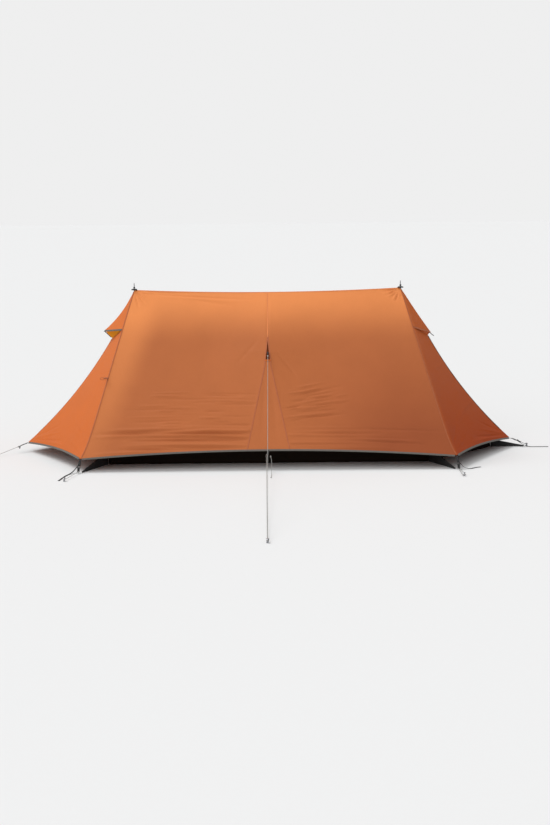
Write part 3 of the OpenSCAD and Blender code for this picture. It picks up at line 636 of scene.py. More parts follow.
RIGHT_TAIL = [
    (1.272, -0.886, 0.034), (1.284, -0.884, 0.022), (1.297, -0.880, 0.012), (1.312, -0.876, 0.006),
    (1.330, -0.874, 0.003), (1.348, -0.862, 0.002), (1.362, -0.846, 0.002), (1.378, -0.830, 0.002),
    (1.394, -0.820, 0.002), (1.412, -0.812, 0.002)]
END_TAIL = [
    (1.796, -0.020, 0.036), (1.810, -0.023, 0.026), (1.826, -0.026, 0.017), (1.844, -0.028, 0.009),
    (1.862, -0.030, 0.004), (1.885, -0.031, 0.002), (1.910, -0.032, 0.002), (1.940, -0.033, 0.002),
    (1.970, -0.034, 0.002), (2.004, -0.035, 0.002)]


def knot(name, at, way, size, material):
    """An overhand knot: three turns of cord round the line."""
    way = unit(way)
    side = unit(np.cross(way, (0.2, 0.3, 0.93)))
    over = np.cross(side, way)
    turns = np.linspace(0, 6 * math.pi, 60)
    path = [np.asarray(at) + way * size * (t / (3 * math.pi) - 1) + size * 0.62 * (
        math.cos(t) * side + math.sin(t) * over) for t in turns]
    rode(tube(name, path, size * 0.42, material, 8), "shelter", "guy_cord")


def add_cords():
    pegs = frame["nodes"]
    for node, top, foot, far_end, held in (
            ("front_guy", GUY_TOP, GUY_FOOT, "fitting", [pegs["peg_front_guy"]]),
            ("front_hem_guy", HEM_GUY_TOP, HEM_GUY_FOOT, "knot", [])):
        cord_piece(node, [top, lerp(np.array(top), np.array(foot), 0.5), foot])
    cord_piece("front_hem_tail", HEM_TAIL)
    cord_piece("left_guy", LEFT_GUY)
    cord_piece("front_left_cord", LEFT_CORD)
    cord_piece("front_right_cord", RIGHT_CORD)
    for node, knots in (("front_left_tail", LEFT_TAIL), ("front_right_tail", RIGHT_TAIL),
                        ("right_end_tail", END_TAIL)):
        tail_piece(node, knots)


add_cords()


# Fly panels
POCKET_TOP, POCKET_FOOT, POCKET_HALF = 0.285, 0.445, 0.0195
SIDE_NORMAL = unit((0, HEM_Z - RIDGE_H, HEM_Y))
END_NORMAL = unit(np.cross((CORNER_X - RIDGE_HALF, -CORNER_Y, CORNER_Z - RIDGE_H),
                           (TIP_X - RIDGE_HALF, 0, TIP_Z - RIDGE_H)))


def opening(s):
    """Half the gap between the two halves of a side: the pocket, and the gusset below it."""
    share = np.clip((s - POCKET_TOP) / (POCKET_FOOT - POCKET_TOP), 0, 1)
    return np.maximum(gusset_x(s), POCKET_HALF * share)


def smoothstep(t):
    t = np.clip(t, 0, 1)
    return t * t * (3 - 2 * t)


def side_glow(P, sign):
    """Painted light and shade of a side: painted light that comes through the cloth, most under the ridge and where
    the inner tent isn't behind it, and painted shade, most low on the right.
    """
    x, z = np.abs(P[..., 0]), P[..., 2]
    inner_x = lerp(FLOOR_X, INNER_HALF, np.clip((z - WALL_H) / (INNER_TOP - WALL_H), 0, 1))
    # fall: painted shade, deepest low down and towards the outer end, mostly on the right; above: painted light
    # under the ridge; beside: painted light past the inner tent's edge, mostly on the left
    fall = smoothstep(x / 1.0) * (1.0 if sign > 0 else 0.12)
    base = 0.31 - np.maximum(0.40 - 0.42 * z, 0) * fall
    above = smoothstep((z - 0.78) / 0.34) * (0.66 - 0.14 * fall * (sign > 0))
    beside = smoothstep((x - inner_x + 0.08) / 0.20) * (lerp(0.08, 0.46, z) if sign < 0 else 0.02 * z)
    return np.clip(base + above + beside * (1 - above), 0, 1)


def end_glow(end, P):
    """Painted light and shade of an end panel: the left end, which faces the light, is painted light, the right
    one, which turns from it, is painted darker low down, with a painted brighter line beside its corner seam.
    """
    z = P[..., 2]
    if end == LEFT:
        return 0.74 + 0.16 * smoothstep(z / 0.8)
    # painted highlight: a thin brighter line along the right end's corner seam
    seam_near = smoothstep(1 - (P[..., 0] - half_width(np.clip(-P[..., 1] / CORNER_Y, 0, 1))) / 0.05)
    return np.clip(0.06 + 0.55 * z, 0, 0.75) + 0.22 * seam_near


def rolling(u, v, size):
    """Slow waves of a taut sheet."""
    return size * (np.sin(u * 5.1 + 1.3) * np.sin(v * 4.3 + 0.6) + 0.5 * np.sin(u * 11.0 + v * 7.0))


# Creases of the sides: start and end in metres from the middle and down from the ridge, width, height
FRONT_LINES = (
    [((-0.90, 0.026), (-0.10, 0.066), 0.007, -0.0045), ((-0.74, 0.044), (-0.16, 0.090), 0.010, 0.0036),
     ((-0.55, 0.066), (-0.22, 0.125), 0.012, -0.0022), ((-0.93, 0.010), (-0.50, 0.022), 0.004, -0.0022),
     ((-0.06, 0.40), (-0.22, 0.62), 0.012, -0.0022)]
    + fan_of_creases(5, 9, (-0.943, 0.0), (6, 88), 0.018, (0.04, 0.15), (0.005, 0.009), (0.0020, 0.0042))
    + band_of_creases(3, 14, (-0.80, -0.35), (1.12, 1.31), (0.6, 1.1), (0.01, 0.07), (0.007, 0.013),
                      (0.0080, 0.0150))
    + band_of_creases(4, 26, (-0.80, -0.20), (0.84, 1.14), (0.14, 0.5), (0.0, 0.06), (0.005, 0.009),
                      (0.0026, 0.0058)),
    fan_of_creases(6, 8, (0.943, 0.0), (96, 174), 0.014, (0.04, 0.13), (0.005, 0.009), (0.004, 0.007))
    + [((0.925, 0.012), (0.855, 0.055), 0.005, -0.0060), ((0.915, 0.010), (0.835, 0.030), 0.005, -0.0050)]
    + band_of_creases(7, 22, (0.16, 0.46), (0.80, 1.08), (0.10, 0.36), (-0.24, -0.06), (0.005, 0.009),
                      (0.0034, 0.0068))
    + band_of_creases(8, 12, (0.25, 0.85), (1.12, 1.31), (0.4, 0.9), (-0.05, 0.02), (0.007, 0.013),
                      (0.0025, 0.0055))
    + [((0.05, 0.50), (0.21, 0.74), 0.010, -0.0042), ((0.04, 0.46), (0.34, 0.62), 0.020, -0.0026)])
BACK_LINES = tuple(
    fan_of_creases(seed, 7, (sign * 0.943, 0.0), angles, 0.016, (0.05, 0.14), (0.006, 0.010), (0.002, 0.004))
    + band_of_creases(seed + 1, 14, across, (0.95, 1.30), (0.3, 0.9), slope, (0.008, 0.015), (0.0015, 0.0045))
    for seed, sign, angles, across, slope in ((15, -1, (8, 82), (-0.80, -0.25), (-0.02, 0.07)),
                                              (17, 1, (98, 172), (0.25, 0.80), (-0.07, 0.02))))


def add_side(end, back, lines):
    """One half of a side of the fly."""
    sign = -1 if end == LEFT else 1
    s, t = np.linspace(0, 1, 230)[:, None], np.linspace(0, 1, 170)[None, :]
    x = lerp(opening(s), half_width(s), t)
    P = side_point(x, s)
    u, v = sign * x, s * PANEL_LEN + 0 * x
    free = smoothstep(np.minimum(t, 1 - t) / 0.02) * smoothstep(s / 0.012) * smoothstep((1.004 - s) / 0.02)
    P = pushed(P, (creases(u, v, lines) + rolling(u, v, 0.0012)) * free)
    name = "fly_{}_{}".format(SIDE_NAME[back], END_NAME[end])
    piece = cloth(name, P, u, v, FLY, side_glow(P, sign), end, back)
    rode(piece, "shelter", "fly_cloth", "fly_{}_panels".format(SIDE_NAME[back]))


def add_gusset(back):
    """The wedge of cloth below a pulled-out point, its band and the pocket above it."""
    side = SIDE_NAME[back]
    s, t = np.linspace(POCKET_FOOT, 1, 120)[:, None], np.linspace(-1, 1, 60)[None, :]
    P = side_point(opening(s) * t, s)
    u, v = opening(s) * t, s * PANEL_LEN + 0 * t
    lines = [((-0.02, 0.70), (-0.05, 1.25), 0.016, -0.0020), ((0.02, 0.72), (0.06, 1.28), 0.018, -0.0022),
             ((0.0, 0.66), (0.0, 1.20), 0.010, 0.0012)]
    P = pushed(P, creases(u, v, lines) * smoothstep((1 - np.abs(t)) / 0.1))
    wedge = cloth("gusset_" + side, P, u, v, FLY, side_glow(P, -1), RIGHT, back)
    rode(wedge, "shelter", "fly_cloth", "fly_gussets")
    s, t = np.linspace(POCKET_TOP + 0.004, POCKET_FOOT + 0.012, 40)[:, None], np.linspace(-1, 1, 24)[None, :]
    share = (s - POCKET_TOP) / (POCKET_FOOT - POCKET_TOP)
    P = side_point((opening(s) + 0.003) * t, s) - SIDE_NORMAL * (0.0015 + 0.017 * share * (1 - t * t))[..., None]
    # painted shade: the pocket takes the darkest colour of the painted-shade cloth
    pocket = cloth("pocket_" + side, P, t * 0.02, s * PANEL_LEN, FLY_PAINTED_SHADE, 0 * P[..., 0], RIGHT, back)
    rode(pocket, "shelter", "fly_cloth", "fly_gussets")
    t = np.linspace(-1, 1, 20)
    path = side_point(POCKET_HALF * t, np.full(20, POCKET_FOOT)) + SIDE_NORMAL * (
        0.0012 + 0.003 * (1 - t * t))[:, None]
    down = unit((0, HEM_Y * (1 if back else -1), HEM_Z - RIDGE_H))
    band = strip("gusset_band_" + side, placed(path, RIGHT, back), down, 0.009, 0.0016, PATCH)
    rode(band, "shelter", "fly_cloth")


def add_hood(end):
    s, w = np.linspace(0.006, VENT, 60)[:, None], np.linspace(1, -1, 81)[None, :]
    P = hood_point(end, s + 0 * w, w + 0 * s)
    u, v = w * s * 0.9, s * END_LEN + 0 * w
    lines = [((0.004, 0.03), (0.012, 0.20), 0.006, 0.002), ((-0.006, 0.03), (-0.02, 0.22), 0.006, 0.002),
             ((0.02, 0.08), (0.07, 0.30), 0.010, -0.002), ((-0.03, 0.08), (-0.09, 0.30), 0.010, -0.002)]
    free = smoothstep((1 - np.abs(w)) / 0.08) * smoothstep((VENT - s) / 0.02)
    P = pushed(P, creases(u, v, lines) * free)
    piece = cloth("vent_hood_" + END_NAME[end], P, u, v, FLY_END, end_glow(end, P), end)
    rode(piece, "shelter", "fly_cloth", "vent_hoods")


def add_gore(end, back):
    """The cloth that closes a vent on the fixed side, inside the hood's lip; on the left it has painted light
    towards the middle, painted shade towards the corner seam and a painted glow as emission, on the right the end
    panel's painted light and shade.
    """
    w, t = np.linspace(0.90, 0.01, 30)[None, :], np.linspace(0, 1, 24)[:, None]
    high = hood_point(end, VENT + 0 * w[0], w[0]) - (0.0018, 0, 0.0030)
    low = end_point(end, VENT + 0 * w[0], 1 - w[0]) - (0.0018, 0, -0.0005)
    P = pushed(lerp(high[None], low[None], t[..., None]), -0.004 * np.sin(np.pi * t) * np.sin(np.pi * w))
    # painted light towards the vent's middle, painted shade by the corner seam
    lit = smoothstep((0.62 - w) / 0.25) + 0 * t
    material, glow, deep = (GORE, lit, 0.09) if end == LEFT else (FLY_END, end_glow(end, P), 0.045)
    piece = cloth("vent_gore_" + END_NAME[end], P, P[..., 1], P[..., 2], material, glow, end, back)
    rode(piece, "shelter", "fly_cloth", "vent_hoods")


def end_lines(seed):
    """Creases of an end panel, in metres from the corner seam and down it."""
    tip = np.array([0.955, 1.385])
    return ([(tip + (-0.02, -0.010), tip + (-0.62, -0.030), 0.010, 0.0060),
             (tip + (-0.03, -0.022), tip + (-0.55, -0.065), 0.009, -0.0050),
             (tip + (-0.03, -0.045), tip + (-0.42, -0.130), 0.011, 0.0035),
             (tip + (-0.05, -0.070), tip + (-0.40, -0.210), 0.012, -0.0028),
             ((0.02, 1.36), (0.30, 1.30), 0.010, 0.0025), ((0.02, 1.33), (0.22, 1.18), 0.010, -0.0020)]
            + band_of_creases(seed, 5, (0.25, 0.60), (0.55, 1.20), (0.2, 0.5), (-0.6, -0.2), (0.016, 0.03),
                              (0.0010, 0.0022)))


def end_width(end, s):
    return np.linalg.norm(end_point(end, s, 1 + 0 * s) - end_point(end, s, 0 * s), axis=1)


def end_grid(end, gap):
    """Points of an end panel, its creases applied; a door stops short of its neighbours by gap."""
    s, t = np.linspace(VENT, 1, 170)[:, None], np.linspace(0, 1, 110)[None, :]
    wide = end_width(end, s[:, 0])
    edge = gap / wide[:, None]
    w = lerp(edge * 0.2, 1 - edge, t)
    P = end_point(end, s + 0 * w, w)
    u, v = w * wide[:, None], s * END_LEN + 0 * w
    free = smoothstep(np.minimum(t, 1 - t) / 0.03) * smoothstep((1.004 - s) / 0.02) * smoothstep((s - VENT) / 0.02)
    return pushed(P, (creases(u, v, end_lines(20 + end)) + rolling(u, v, 0.0010)) * free), u, v


HINGE_BLEND = 0.09


def door_fold(end, back):
    """A line near a door's corner seam, as start and end points."""
    peak, corner, tip = (np.array(p) for p in ((RIDGE_HALF, 0, RIDGE_H), (CORNER_X, -CORNER_Y, CORNER_Z),
                                               (TIP_X, 0, TIP_Z)))
    seam_way = unit(corner - peak)
    away = (tip - peak) - np.dot(tip - peak, seam_way) * seam_way
    start, finish = peak - unit(away) * SEAM_BOW, peak + unit(away) * HINGE_BLEND
    return [tuple(placed(p, end, back)) for p in (start, finish)]


def add_end(end, back):
    """An end panel: a fixed half, or the door beside it."""
    is_door = (end == LEFT) != back
    door = END_NAME[end] + "_door"
    P, u, v = end_grid(end, DOOR_GAP if is_door else 0.0)
    name = "{}_{}_end".format(END_NAME[end], SIDE_NAME[back])
    piece = cloth(name, P, u, v, FLY_END, end_glow(end, P), end, back)
    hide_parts(door if is_door else "fly_end_panels")
    if is_door:
        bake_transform(piece)
    else:
        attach(piece, "shelter")


for end in (LEFT, RIGHT):
    add_side(end, False, FRONT_LINES[end])
    add_side(end, True, BACK_LINES[end])
    add_hood(end)
    for back in (False, True):
        add_end(end, back)
for back in (False, True):
    add_gusset(back)
add_gore(LEFT, True)
add_gore(RIGHT, False)


# Seams, hem tapes and stitches
def add_seam(name, path, normal, width=0.0085, rows=(-0.0026, 0.0026), material=SEAM):
    """A flat-felled seam: a low strip with two rows of stitches."""
    tangent = unit(np.gradient(path, axis=0))
    across = unit(np.cross(normal, tangent))
    up = np.cross(tangent, across)
    rode(strip("seam_" + name, path + 0.0003 * up, across, width, 0.0009, material), "shelter", "fly_cloth")
    rode(stitches("stitches_" + name, [path + k * across + 0.0009 * up for k in rows], THREAD), "shelter",
         "fly_cloth")


def add_seams():
    s = np.linspace(0.012, 0.992, 120)
    t = np.linspace(POCKET_TOP, 0.992, 90)
    for end, back in QUARTERS:
        label = "{}_{}".format(END_NAME[end], SIDE_NAME[back])
        add_seam("corner_" + label, placed(seam(s), end, back), placed(unit(SIDE_NORMAL + END_NORMAL), end, back))
        add_seam("gusset_" + label, placed(side_point(opening(t), t), end, back), placed(SIDE_NORMAL, end, back))
    t, x = np.linspace(0.012, POCKET_TOP + 0.01, 50), np.linspace(-0.918, 0.918, 120)
    # painted light: the middle and ridge seams take the lighter copy of the seam tape
    for name, path, size in (("middle_", side_point(0 * t, t), (0.0065, (-0.0020, 0.0020))),
                             ("ridge_", side_point(x, 0 * x + 0.0033), ())):
        for back in (False, True):
            add_seam(name + SIDE_NAME[back], placed(path, RIGHT, back), placed(SIDE_NORMAL, RIGHT, back), *size,
                     material=SEAM_LIT)


TAPE_W = 0.012


def add_tape(name, edge, way, body="shelter", node="edge_binding", fold=None, material=TAPE):
    """The tape that binds an edge, with its row of stitches. way points out of the cloth."""
    way = unit(way)
    normal = unit(np.cross(unit(np.gradient(edge, axis=0)), way))
    piece = strip("tape_" + name, edge + way * (TAPE_W / 2 - 0.001), way * np.ones((len(edge), 1)),
                  TAPE_W + 0.002, 0.0018, material)
    made = stitches("stitches_" + name, [edge + way * 0.0022 + normal * q for q in (0.0011, -0.0011)], THREAD_GREY)
    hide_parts(node)
    for p in (piece, made):
        if fold:
            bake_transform(p)
        else:
            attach(p, body)


def add_tapes():
    side_way = np.array([0, -HEM_Y, HEM_Z - RIDGE_H])
    x = np.linspace(-0.99, 0.99, 180) * half_width(1.0)
    for back in (False, True):
        edge = placed(side_point(x, np.ones(len(x))), RIGHT, back)
        add_tape("side_" + SIDE_NAME[back], edge, placed(side_way, RIGHT, back))
    for end in (LEFT, RIGHT):
        middle = [end_point(end, np.array([s]), np.array([0.5]))[0] for s in (1.0, 0.94)]
        w = np.linspace(0.02, 0.985, 100)
        for back in (False, True):
            edge = placed(end_point(end, np.ones(len(w)), w), end, back)
            way = placed(middle[0] - middle[1], end, back)
            if (end == LEFT) != back:
                door = END_NAME[end] + "_door"
                add_tape(door, edge, way, door, door + "_binding", door_fold(end, back))
            else:
                add_tape(END_NAME[end] + "_end", edge, way)
        w = np.linspace(0.97, -0.97, 90)
        lip = placed(hood_point(end, np.full(len(w), VENT), w), end)
        way = placed(np.array([LIP_OUT[end], 0, -LIP_DOWN[end]]), end)
        add_tape(END_NAME[end] + "_vent", lip, way, material=TAPE if end == LEFT else SEAM)


add_seams()
add_tapes()


# Peaks, guy loops, zips and door tie-backs
def rigged(pieces, name, body, slot, *replaced):
    return rode(joined(name, pieces), body, slot, *replaced)


def strap(name, knots, width=0.015, thick=0.0017, count=30):
    path = smooth_path(knots, count)
    return strip(name, path, np.cross(unit(np.gradient(path, axis=0)), (0, 0, 1)), width, thick, WEBBING)


def softened(node, material, width=0.0006):
    """A CAD node that stays, with its material and rounded edges."""
    piece = frame["nodes"][node]
    piece.data.materials.clear()
    piece.data.materials.append(material)
    weld = piece.modifiers.new("weld", "WELD")
    weld.merge_threshold = 0.00005
    bevel = piece.modifiers.new("edges", "BEVEL")
    bevel.width = width
    bevel.segments = 2
    bevel.limit_method = "ANGLE"
    bevel.angle_limit = math.radians(40)
    bevel.harden_normals = True


def add_peaks():
    for label, x in (("left", -RIDGE_HALF), ("right", RIDGE_HALF)):
        cap = [(0.0137, -0.0010), (0.0205, -0.0012), (0.0212, 0.0004), (0.0208, 0.0028), (0.0190, 0.0050),
               (0.0178, 0.0054), (0.0172, 0.0066), (0.0148, 0.0072), (0.0137, 0.0070), (0.0137, -0.0010)]
        rode(lathe("peak_cap_" + label, cap, (x, 0, RIDGE_H), RUBBER, segments=64), "shelter", "black_webbing",
             "peak_patches")
        turns = 2 * math.pi * np.arange(73) / 72
        for row, radius, height in (("inner", 0.0158, 0.0072), ("outer", 0.0196, 0.0046)):
            path = points(x + radius * np.cos(turns), radius * np.sin(turns), RIDGE_H + height + 0 * turns)
            rode(stitches("cap_stitches_{}_{}".format(row, label), [path], THREAD_GREY, 0.003, 0.002, 0.0003),
                 "shelter", "black_webbing")
        sleeve = [(0.0050, 0.0105), (0.0064, 0.0110), (0.0066, 0.0130), (0.0064, 0.0190), (0.0056, 0.0215),
                  (0.0050, 0.0220), (0.0050, 0.0105)]
        rode(lathe("tip_sleeve_" + label, sleeve, (x, 0, RIDGE_H), PLASTIC), label + "_pole_tip", "pole_tube")
    softened("grommets", DARK_METAL, 0.0005)


def add_guy_loops():
    rings, webs = [], []
    for label, side in (("front", -1), ("back", 1)):
        apex, hem = np.array([0, side * 0.382, 0.740]), np.array([0, side * 0.826, 0.130])
        centre, low = apex + (0, side * 0.048, -0.012), np.array([0, side * 0.849, 0.113])
        for name, at in (("ring_apex_", centre), ("ring_hem_", low)):
            rings.append(tube(name + label, ring_path(at, (0, 1, 0), (0, 0, 1), 0.009, 40), 0.0019, PLASTIC, 12,
                              True))
        way, over = unit(centre - apex), np.array([0, side * 0.6, 0.8])
        top = centre - way * 0.009
        apex_knots = [apex + way * 0.004 + over * 0.0012, lerp(apex, top, 0.5) + over * 0.0032,
                      top + over * 0.0030, top + way * 0.0034, top - over * 0.0030,
                      lerp(apex, top, 0.5) - over * 0.0030, apex + way * 0.004 - over * 0.0030]
        down, out = unit(low - hem), np.array([0, side * 0.63, 0.776])
        top = low - down * 0.009
        hem_knots = [hem - down * 0.012 + out * 0.002, hem + out * 0.0025, top + out * 0.0030,
                     top + down * 0.0034, top - out * 0.0030, hem - out * 0.0025, hem - down * 0.012 - out * 0.002]
        webs += [strap("web_part", knots, 0.010, 0.0014, 50) for knots in (apex_knots, hem_knots)]
    rigged(rings, "guy_rings", "shelter", "black_plastic", "guy_loops")
    rigged(webs, "guy_loop_webs", "shelter", "black_webbing")


def coil(path, radius, pitch, squash):
    """Points of a zip's coil round a path."""
    run = run_along(path)
    at = np.arange(0, run[-1], pitch / 6)
    centre = at_run(path, run, at)
    tangent = unit(np.gradient(centre, axis=0))
    side = unit(np.cross(tangent, (0, 0, 1)))
    over = np.cross(side, tangent)
    turn = (2 * np.pi * at / pitch)[:, None]
    return centre + radius * (np.cos(turn) * side + squash * np.sin(turn) * over)


def add_zips():
    for end, back, side in ((LEFT, True, "left"), (RIGHT, False, "right")):
        s = np.linspace(VENT + 0.008, 0.925, 130)
        inner, outer = (placed(end_point(end, s, 1 - off / end_width(end, s)), end, back)
                        for off in (0.0135, 0.0030))
        up = np.array([0, 0, 0.0016])
        path = (inner + outer) / 2 + up
        rode(strip("zip_tape_" + side, path, outer - inner, 0.0125, 0.0010, ZIP_TAPE), "shelter", "zip_tape",
             "door_zips")
        turns = tube("zip_coil_" + side, coil(path + up * 0.7, 0.0021, 0.0024, 0.45), 0.00045, PLASTIC, 4)
        rode(turns, "shelter", "zip_tape")
        softened(side + "_zip_slider", DARK_METAL, 0.0008)


def add_tiebacks():
    profile = [(0.0, -0.018), (0.0024, -0.0178), (0.0038, -0.016), (0.0040, -0.012), (0.0034, -0.004),
               (0.0030, 0.0), (0.0034, 0.004), (0.0040, 0.012), (0.0038, 0.016), (0.0024, 0.0178), (0.0, 0.018)]
    turns = 2 * np.pi * np.arange(36) / 36
    toggles, loops = [], []
    for end, back in ((LEFT, False), (RIGHT, True)):
        flip = mirror(end, back)
        root = seam(np.array(0.55)) * flip
        seat = root + (0.006, -0.016, 0.014) * flip
        toggles.append(lathe("toggle_part", profile, seat, TOGGLE, (1, 0, 0), 28))
        free = seat + points(0.027 * flip[0] + 0.013 * np.cos(turns), -0.003 * flip[1],
                             0.008 * np.sin(turns) - 0.003)
        for path, radius, closed in (
                (ring_path(seat + (0, -0.007 * flip[1], -0.002), (1, 0, 0), (0, 0, 1), 0.009, 36), 0.0013, True),
                (free, 0.0016, True),
                (smooth_path([root, lerp(root, seat, 0.6) + (0, 0, 0.003), seat], 12), 0.0013, False)):
            loops.append(tube("loop_part", path, radius, TOGGLE, 8, closed))
    rigged(toggles, "tieback_toggles", "shelter", "toggle_cloth", "door_tiebacks")
    rigged(loops, "tieback_loops", "shelter", "toggle_cloth")


# Inner tent
def inner_x(y, low, high):
    return lerp(high, low, np.abs(y) / FLOOR_Y)


def plain_sheet(name, P, material, slot, node, body="shelter", thick=0.0006):
    uv = np.stack([np.linalg.norm(P - P[:, :1], axis=-1), np.linalg.norm(P - P[:1], axis=-1)], axis=-1)
    piece = shell(name, P.reshape(-1, 3), grid_faces(*P.shape[:2], False), material, uv.reshape(-1, 2))
    rode(thickened(piece, thick, 0), body, slot, node)


def net(name, P, node, body="shelter"):
    plain_sheet(name, P, NET, "inner_mesh", node, body)


def ruled(top, foot, rows, cols, dip=0.0):
    """A grid between two lines, dipped a little in its middle."""
    s, t = np.linspace(0, 1, rows)[:, None, None], np.linspace(0, 1, cols)[None, :, None]
    P = lerp(lerp(*np.asarray(top), t), lerp(*np.asarray(foot), t), s)
    return P - np.array([0, 0, dip]) * (16 * s * (1 - s) * t * (1 - t))


def add_inner():
    y, t = np.linspace(-FLOOR_Y, FLOOR_Y, 60)[:, None], np.linspace(0, 1, 80)[None, :]
    left, right = inner_x(y, -FLOOR_X, FLOOR_NOTCH - FLOOR_X), inner_x(y, FLOOR_X, FLOOR_POINT)
    plain_sheet("tray_floor", points(lerp(left, right, t), y, 0.0005 + 0 * t), TRAY, "tray_cloth", "inner_floor")
    corners = np.array([(-FLOOR_X, -FLOOR_Y), (FLOOR_X, -FLOOR_Y), (FLOOR_POINT, 0), (FLOOR_X, FLOOR_Y),
                        (-FLOOR_X, FLOOR_Y), (FLOOR_NOTCH - FLOOR_X, 0), (-FLOOR_X, -FLOOR_Y)])
    run = run_along(corners)
    at = np.unique(np.concatenate([np.linspace(0, run[-1], 360), run]))
    x, y = at_run(corners, run, at).T
    h = np.linspace(0, 1, 10)[:, None]
    near = np.min(np.abs(at[:, None] - run[None, :]), axis=1)
    wave = 0.0035 * np.sin(at * 19 + 1.0) * np.sin(at * 7.3) * np.clip(near / 0.1, 0, 1) * np.sin(np.pi * h)
    inward = 1 - wave / 0.9
    plain_sheet("tray_wall", points(x * inward, y * inward, lerp(0.001, WALL_H, h)), TRAY, "tray_cloth",
                "inner_wall")
    top, corner = np.array([INNER_HALF, 0, INNER_TOP]), np.array([FLOOR_X, -FLOOR_Y, WALL_H + 0.0015])
    point = np.array([FLOOR_POINT - 0.003, 0, WALL_H + 0.0015])
    flip_x = mirror(LEFT, False)
    for back in (False, True):
        P = ruled((top * flip_x, top), (corner * flip_x, corner), 40, 60, 0.006)
        net("net_" + SIDE_NAME[back], placed(P, RIGHT, back), "inner_side_mesh")
        rows = np.array([0.04, 0.06, 0.14, 0.3, 0.44, 0.7, 1])
        fine = np.unique(np.concatenate([rows, np.linspace(0.04, 1, 40)]))
        middle = lerp(top, point, fine[:, None])
        middle[:, 1] = -np.clip(0.130 - np.abs(middle[:, 0] - RIDGE_HALF), 0.0003, 0.042) * np.minimum(1, fine * 16)
        outer = lerp(top, corner, fine[:, None]) + (0.0005, 0, 0)
        P = lerp(outer[:, None], middle[:, None], np.linspace(0, 1, 24)[None, :, None])
        net("net_point_" + SIDE_NAME[back], placed(P, RIGHT, back), "inner_end_mesh")
    gap = 0.0015
    entry_top = np.array([-INNER_HALF - gap, 0, INNER_TOP - 0.001])
    foot = np.array([FLOOR_NOTCH - FLOOR_X - gap, 0, WALL_H + 0.0005])
    entry_corner = np.array([-FLOOR_X - gap, -FLOOR_Y, WALL_H + 0.0005])
    P = ruled((lerp(entry_top, foot, 0.002), lerp(entry_top, entry_corner, 0.002)), (foot, entry_corner), 40, 24)
    net("net_entry_back", placed(P, RIGHT, True), "inner_end_mesh")

    def edge(t, y):
        p, q = lerp(entry_top, foot, t), lerp(entry_top, entry_corner, t)
        return lerp(p, q, y * t / abs(q[1]))
    near = INNER_DOOR_Y - 0.002
    P = ruled((edge(0.02, 0.0), edge(0.02, near)), (edge(1, 0.0), edge(1, near)), 40, 5)
    net("net_entry_strip", P, "inner_end_mesh")
    lift, inset = np.array([0, 0, 0.004]), np.array([0, 0.004, 0.004])
    P = ruled((edge(0.06, INNER_DOOR_Y) + lift, lerp(entry_top, entry_corner, 0.06) + inset),
              (edge(1, INNER_DOOR_Y) + lift, entry_corner + inset), 40, 24)
    net("net_door", P, "inner_door", "inner_door")
    add_inner_ties(top, corner)


def add_inner_ties(top, corner):
    """The webs from the tray's corners to the pegs, the hangers, and the tapes along the mesh's edges."""
    end_x, end_y = CORNER_X - 0.012, CORNER_Y + 0.028
    runs = [((sx * (FLOOR_X + 0.001), sy * (FLOOR_Y + 0.001)), (sx * end_x, sy * end_y), 0.105, 0.010)
            for sx in (-1, 1) for sy in (-1, 1)]
    runs.append(((FLOOR_POINT + 0.001, 0), (TIP_X + 0.104, 0), 0.062, 0.008))
    t, h = np.linspace(0.01, 1, 20)[None, :], np.linspace(0, 1, 6)[:, None]
    for k, (a, b, high, low) in enumerate(runs):
        tall = lerp(high, low, t ** 0.85)
        P = points(lerp(a[0], b[0], t) + 0 * h, lerp(a[1], b[1], t) + 0 * h, 0.0005 + tall * h)
        plain_sheet("corner_web_{}".format(k), P, WEBBING, "black_webbing", "inner_ties",
                    thick=0.0010)
    hangers = []
    for x in (-0.6, 0.0, 0.6):
        high = RIDGE_H - RIDGE_SAG * (1 - (x / RIDGE_HALF) ** 2) - 0.002
        path = points(x, 0, np.linspace(INNER_TOP + 0.0005, high, 12))
        hangers.append(strip("hanger_part", path, (1, 0, 0), 0.010, 0.0012, WEBBING))
    rigged(hangers, "inner_hangers", "shelter", "black_webbing")
    rims = []
    for turn in ((1, 1, 1), (1, -1, 1)):
        path = smooth_path([corner * (-1, 1, 1) * turn, corner * turn], 40)
        rims.append(strip("rim_part", path, (0, 0, 1), 0.010, 0.0012, WEBBING))
        for side in (-1, 1):
            path = smooth_path([top * (side, 1, 1) * turn, corner * (side, 1, 1) * turn], 40)
            rims.append(strip("rim_part", path, (side, -0.5, 0), 0.008, 0.0012, WEBBING))
    rigged(rims, "inner_seams", "shelter", "black_webbing")


# Poles
def grip_profile():
    profile = [(0.0, 0.0), (0.0175, 0.0), (0.0200, 0.004), (0.0194, 0.014), (0.0190, 0.020), (0.0150, 0.027),
               (0.0138, 0.034)]
    for z in np.arange(0.040, 0.204, 0.0022):
        radius = np.interp(z, [0.034, 0.060, 0.100, 0.190, 0.210], [0.0142, 0.0158, 0.0148, 0.0130, 0.0120])
        ribs = 0.0007 * math.cos(2 * math.pi * z / 0.0088) if 0.062 < z < 0.150 else 0.0
        profile.append((radius + ribs - 0.0002, z))
    return profile + [(0.0118, 0.207), (0.0105, 0.210), (0.0094, 0.210)]


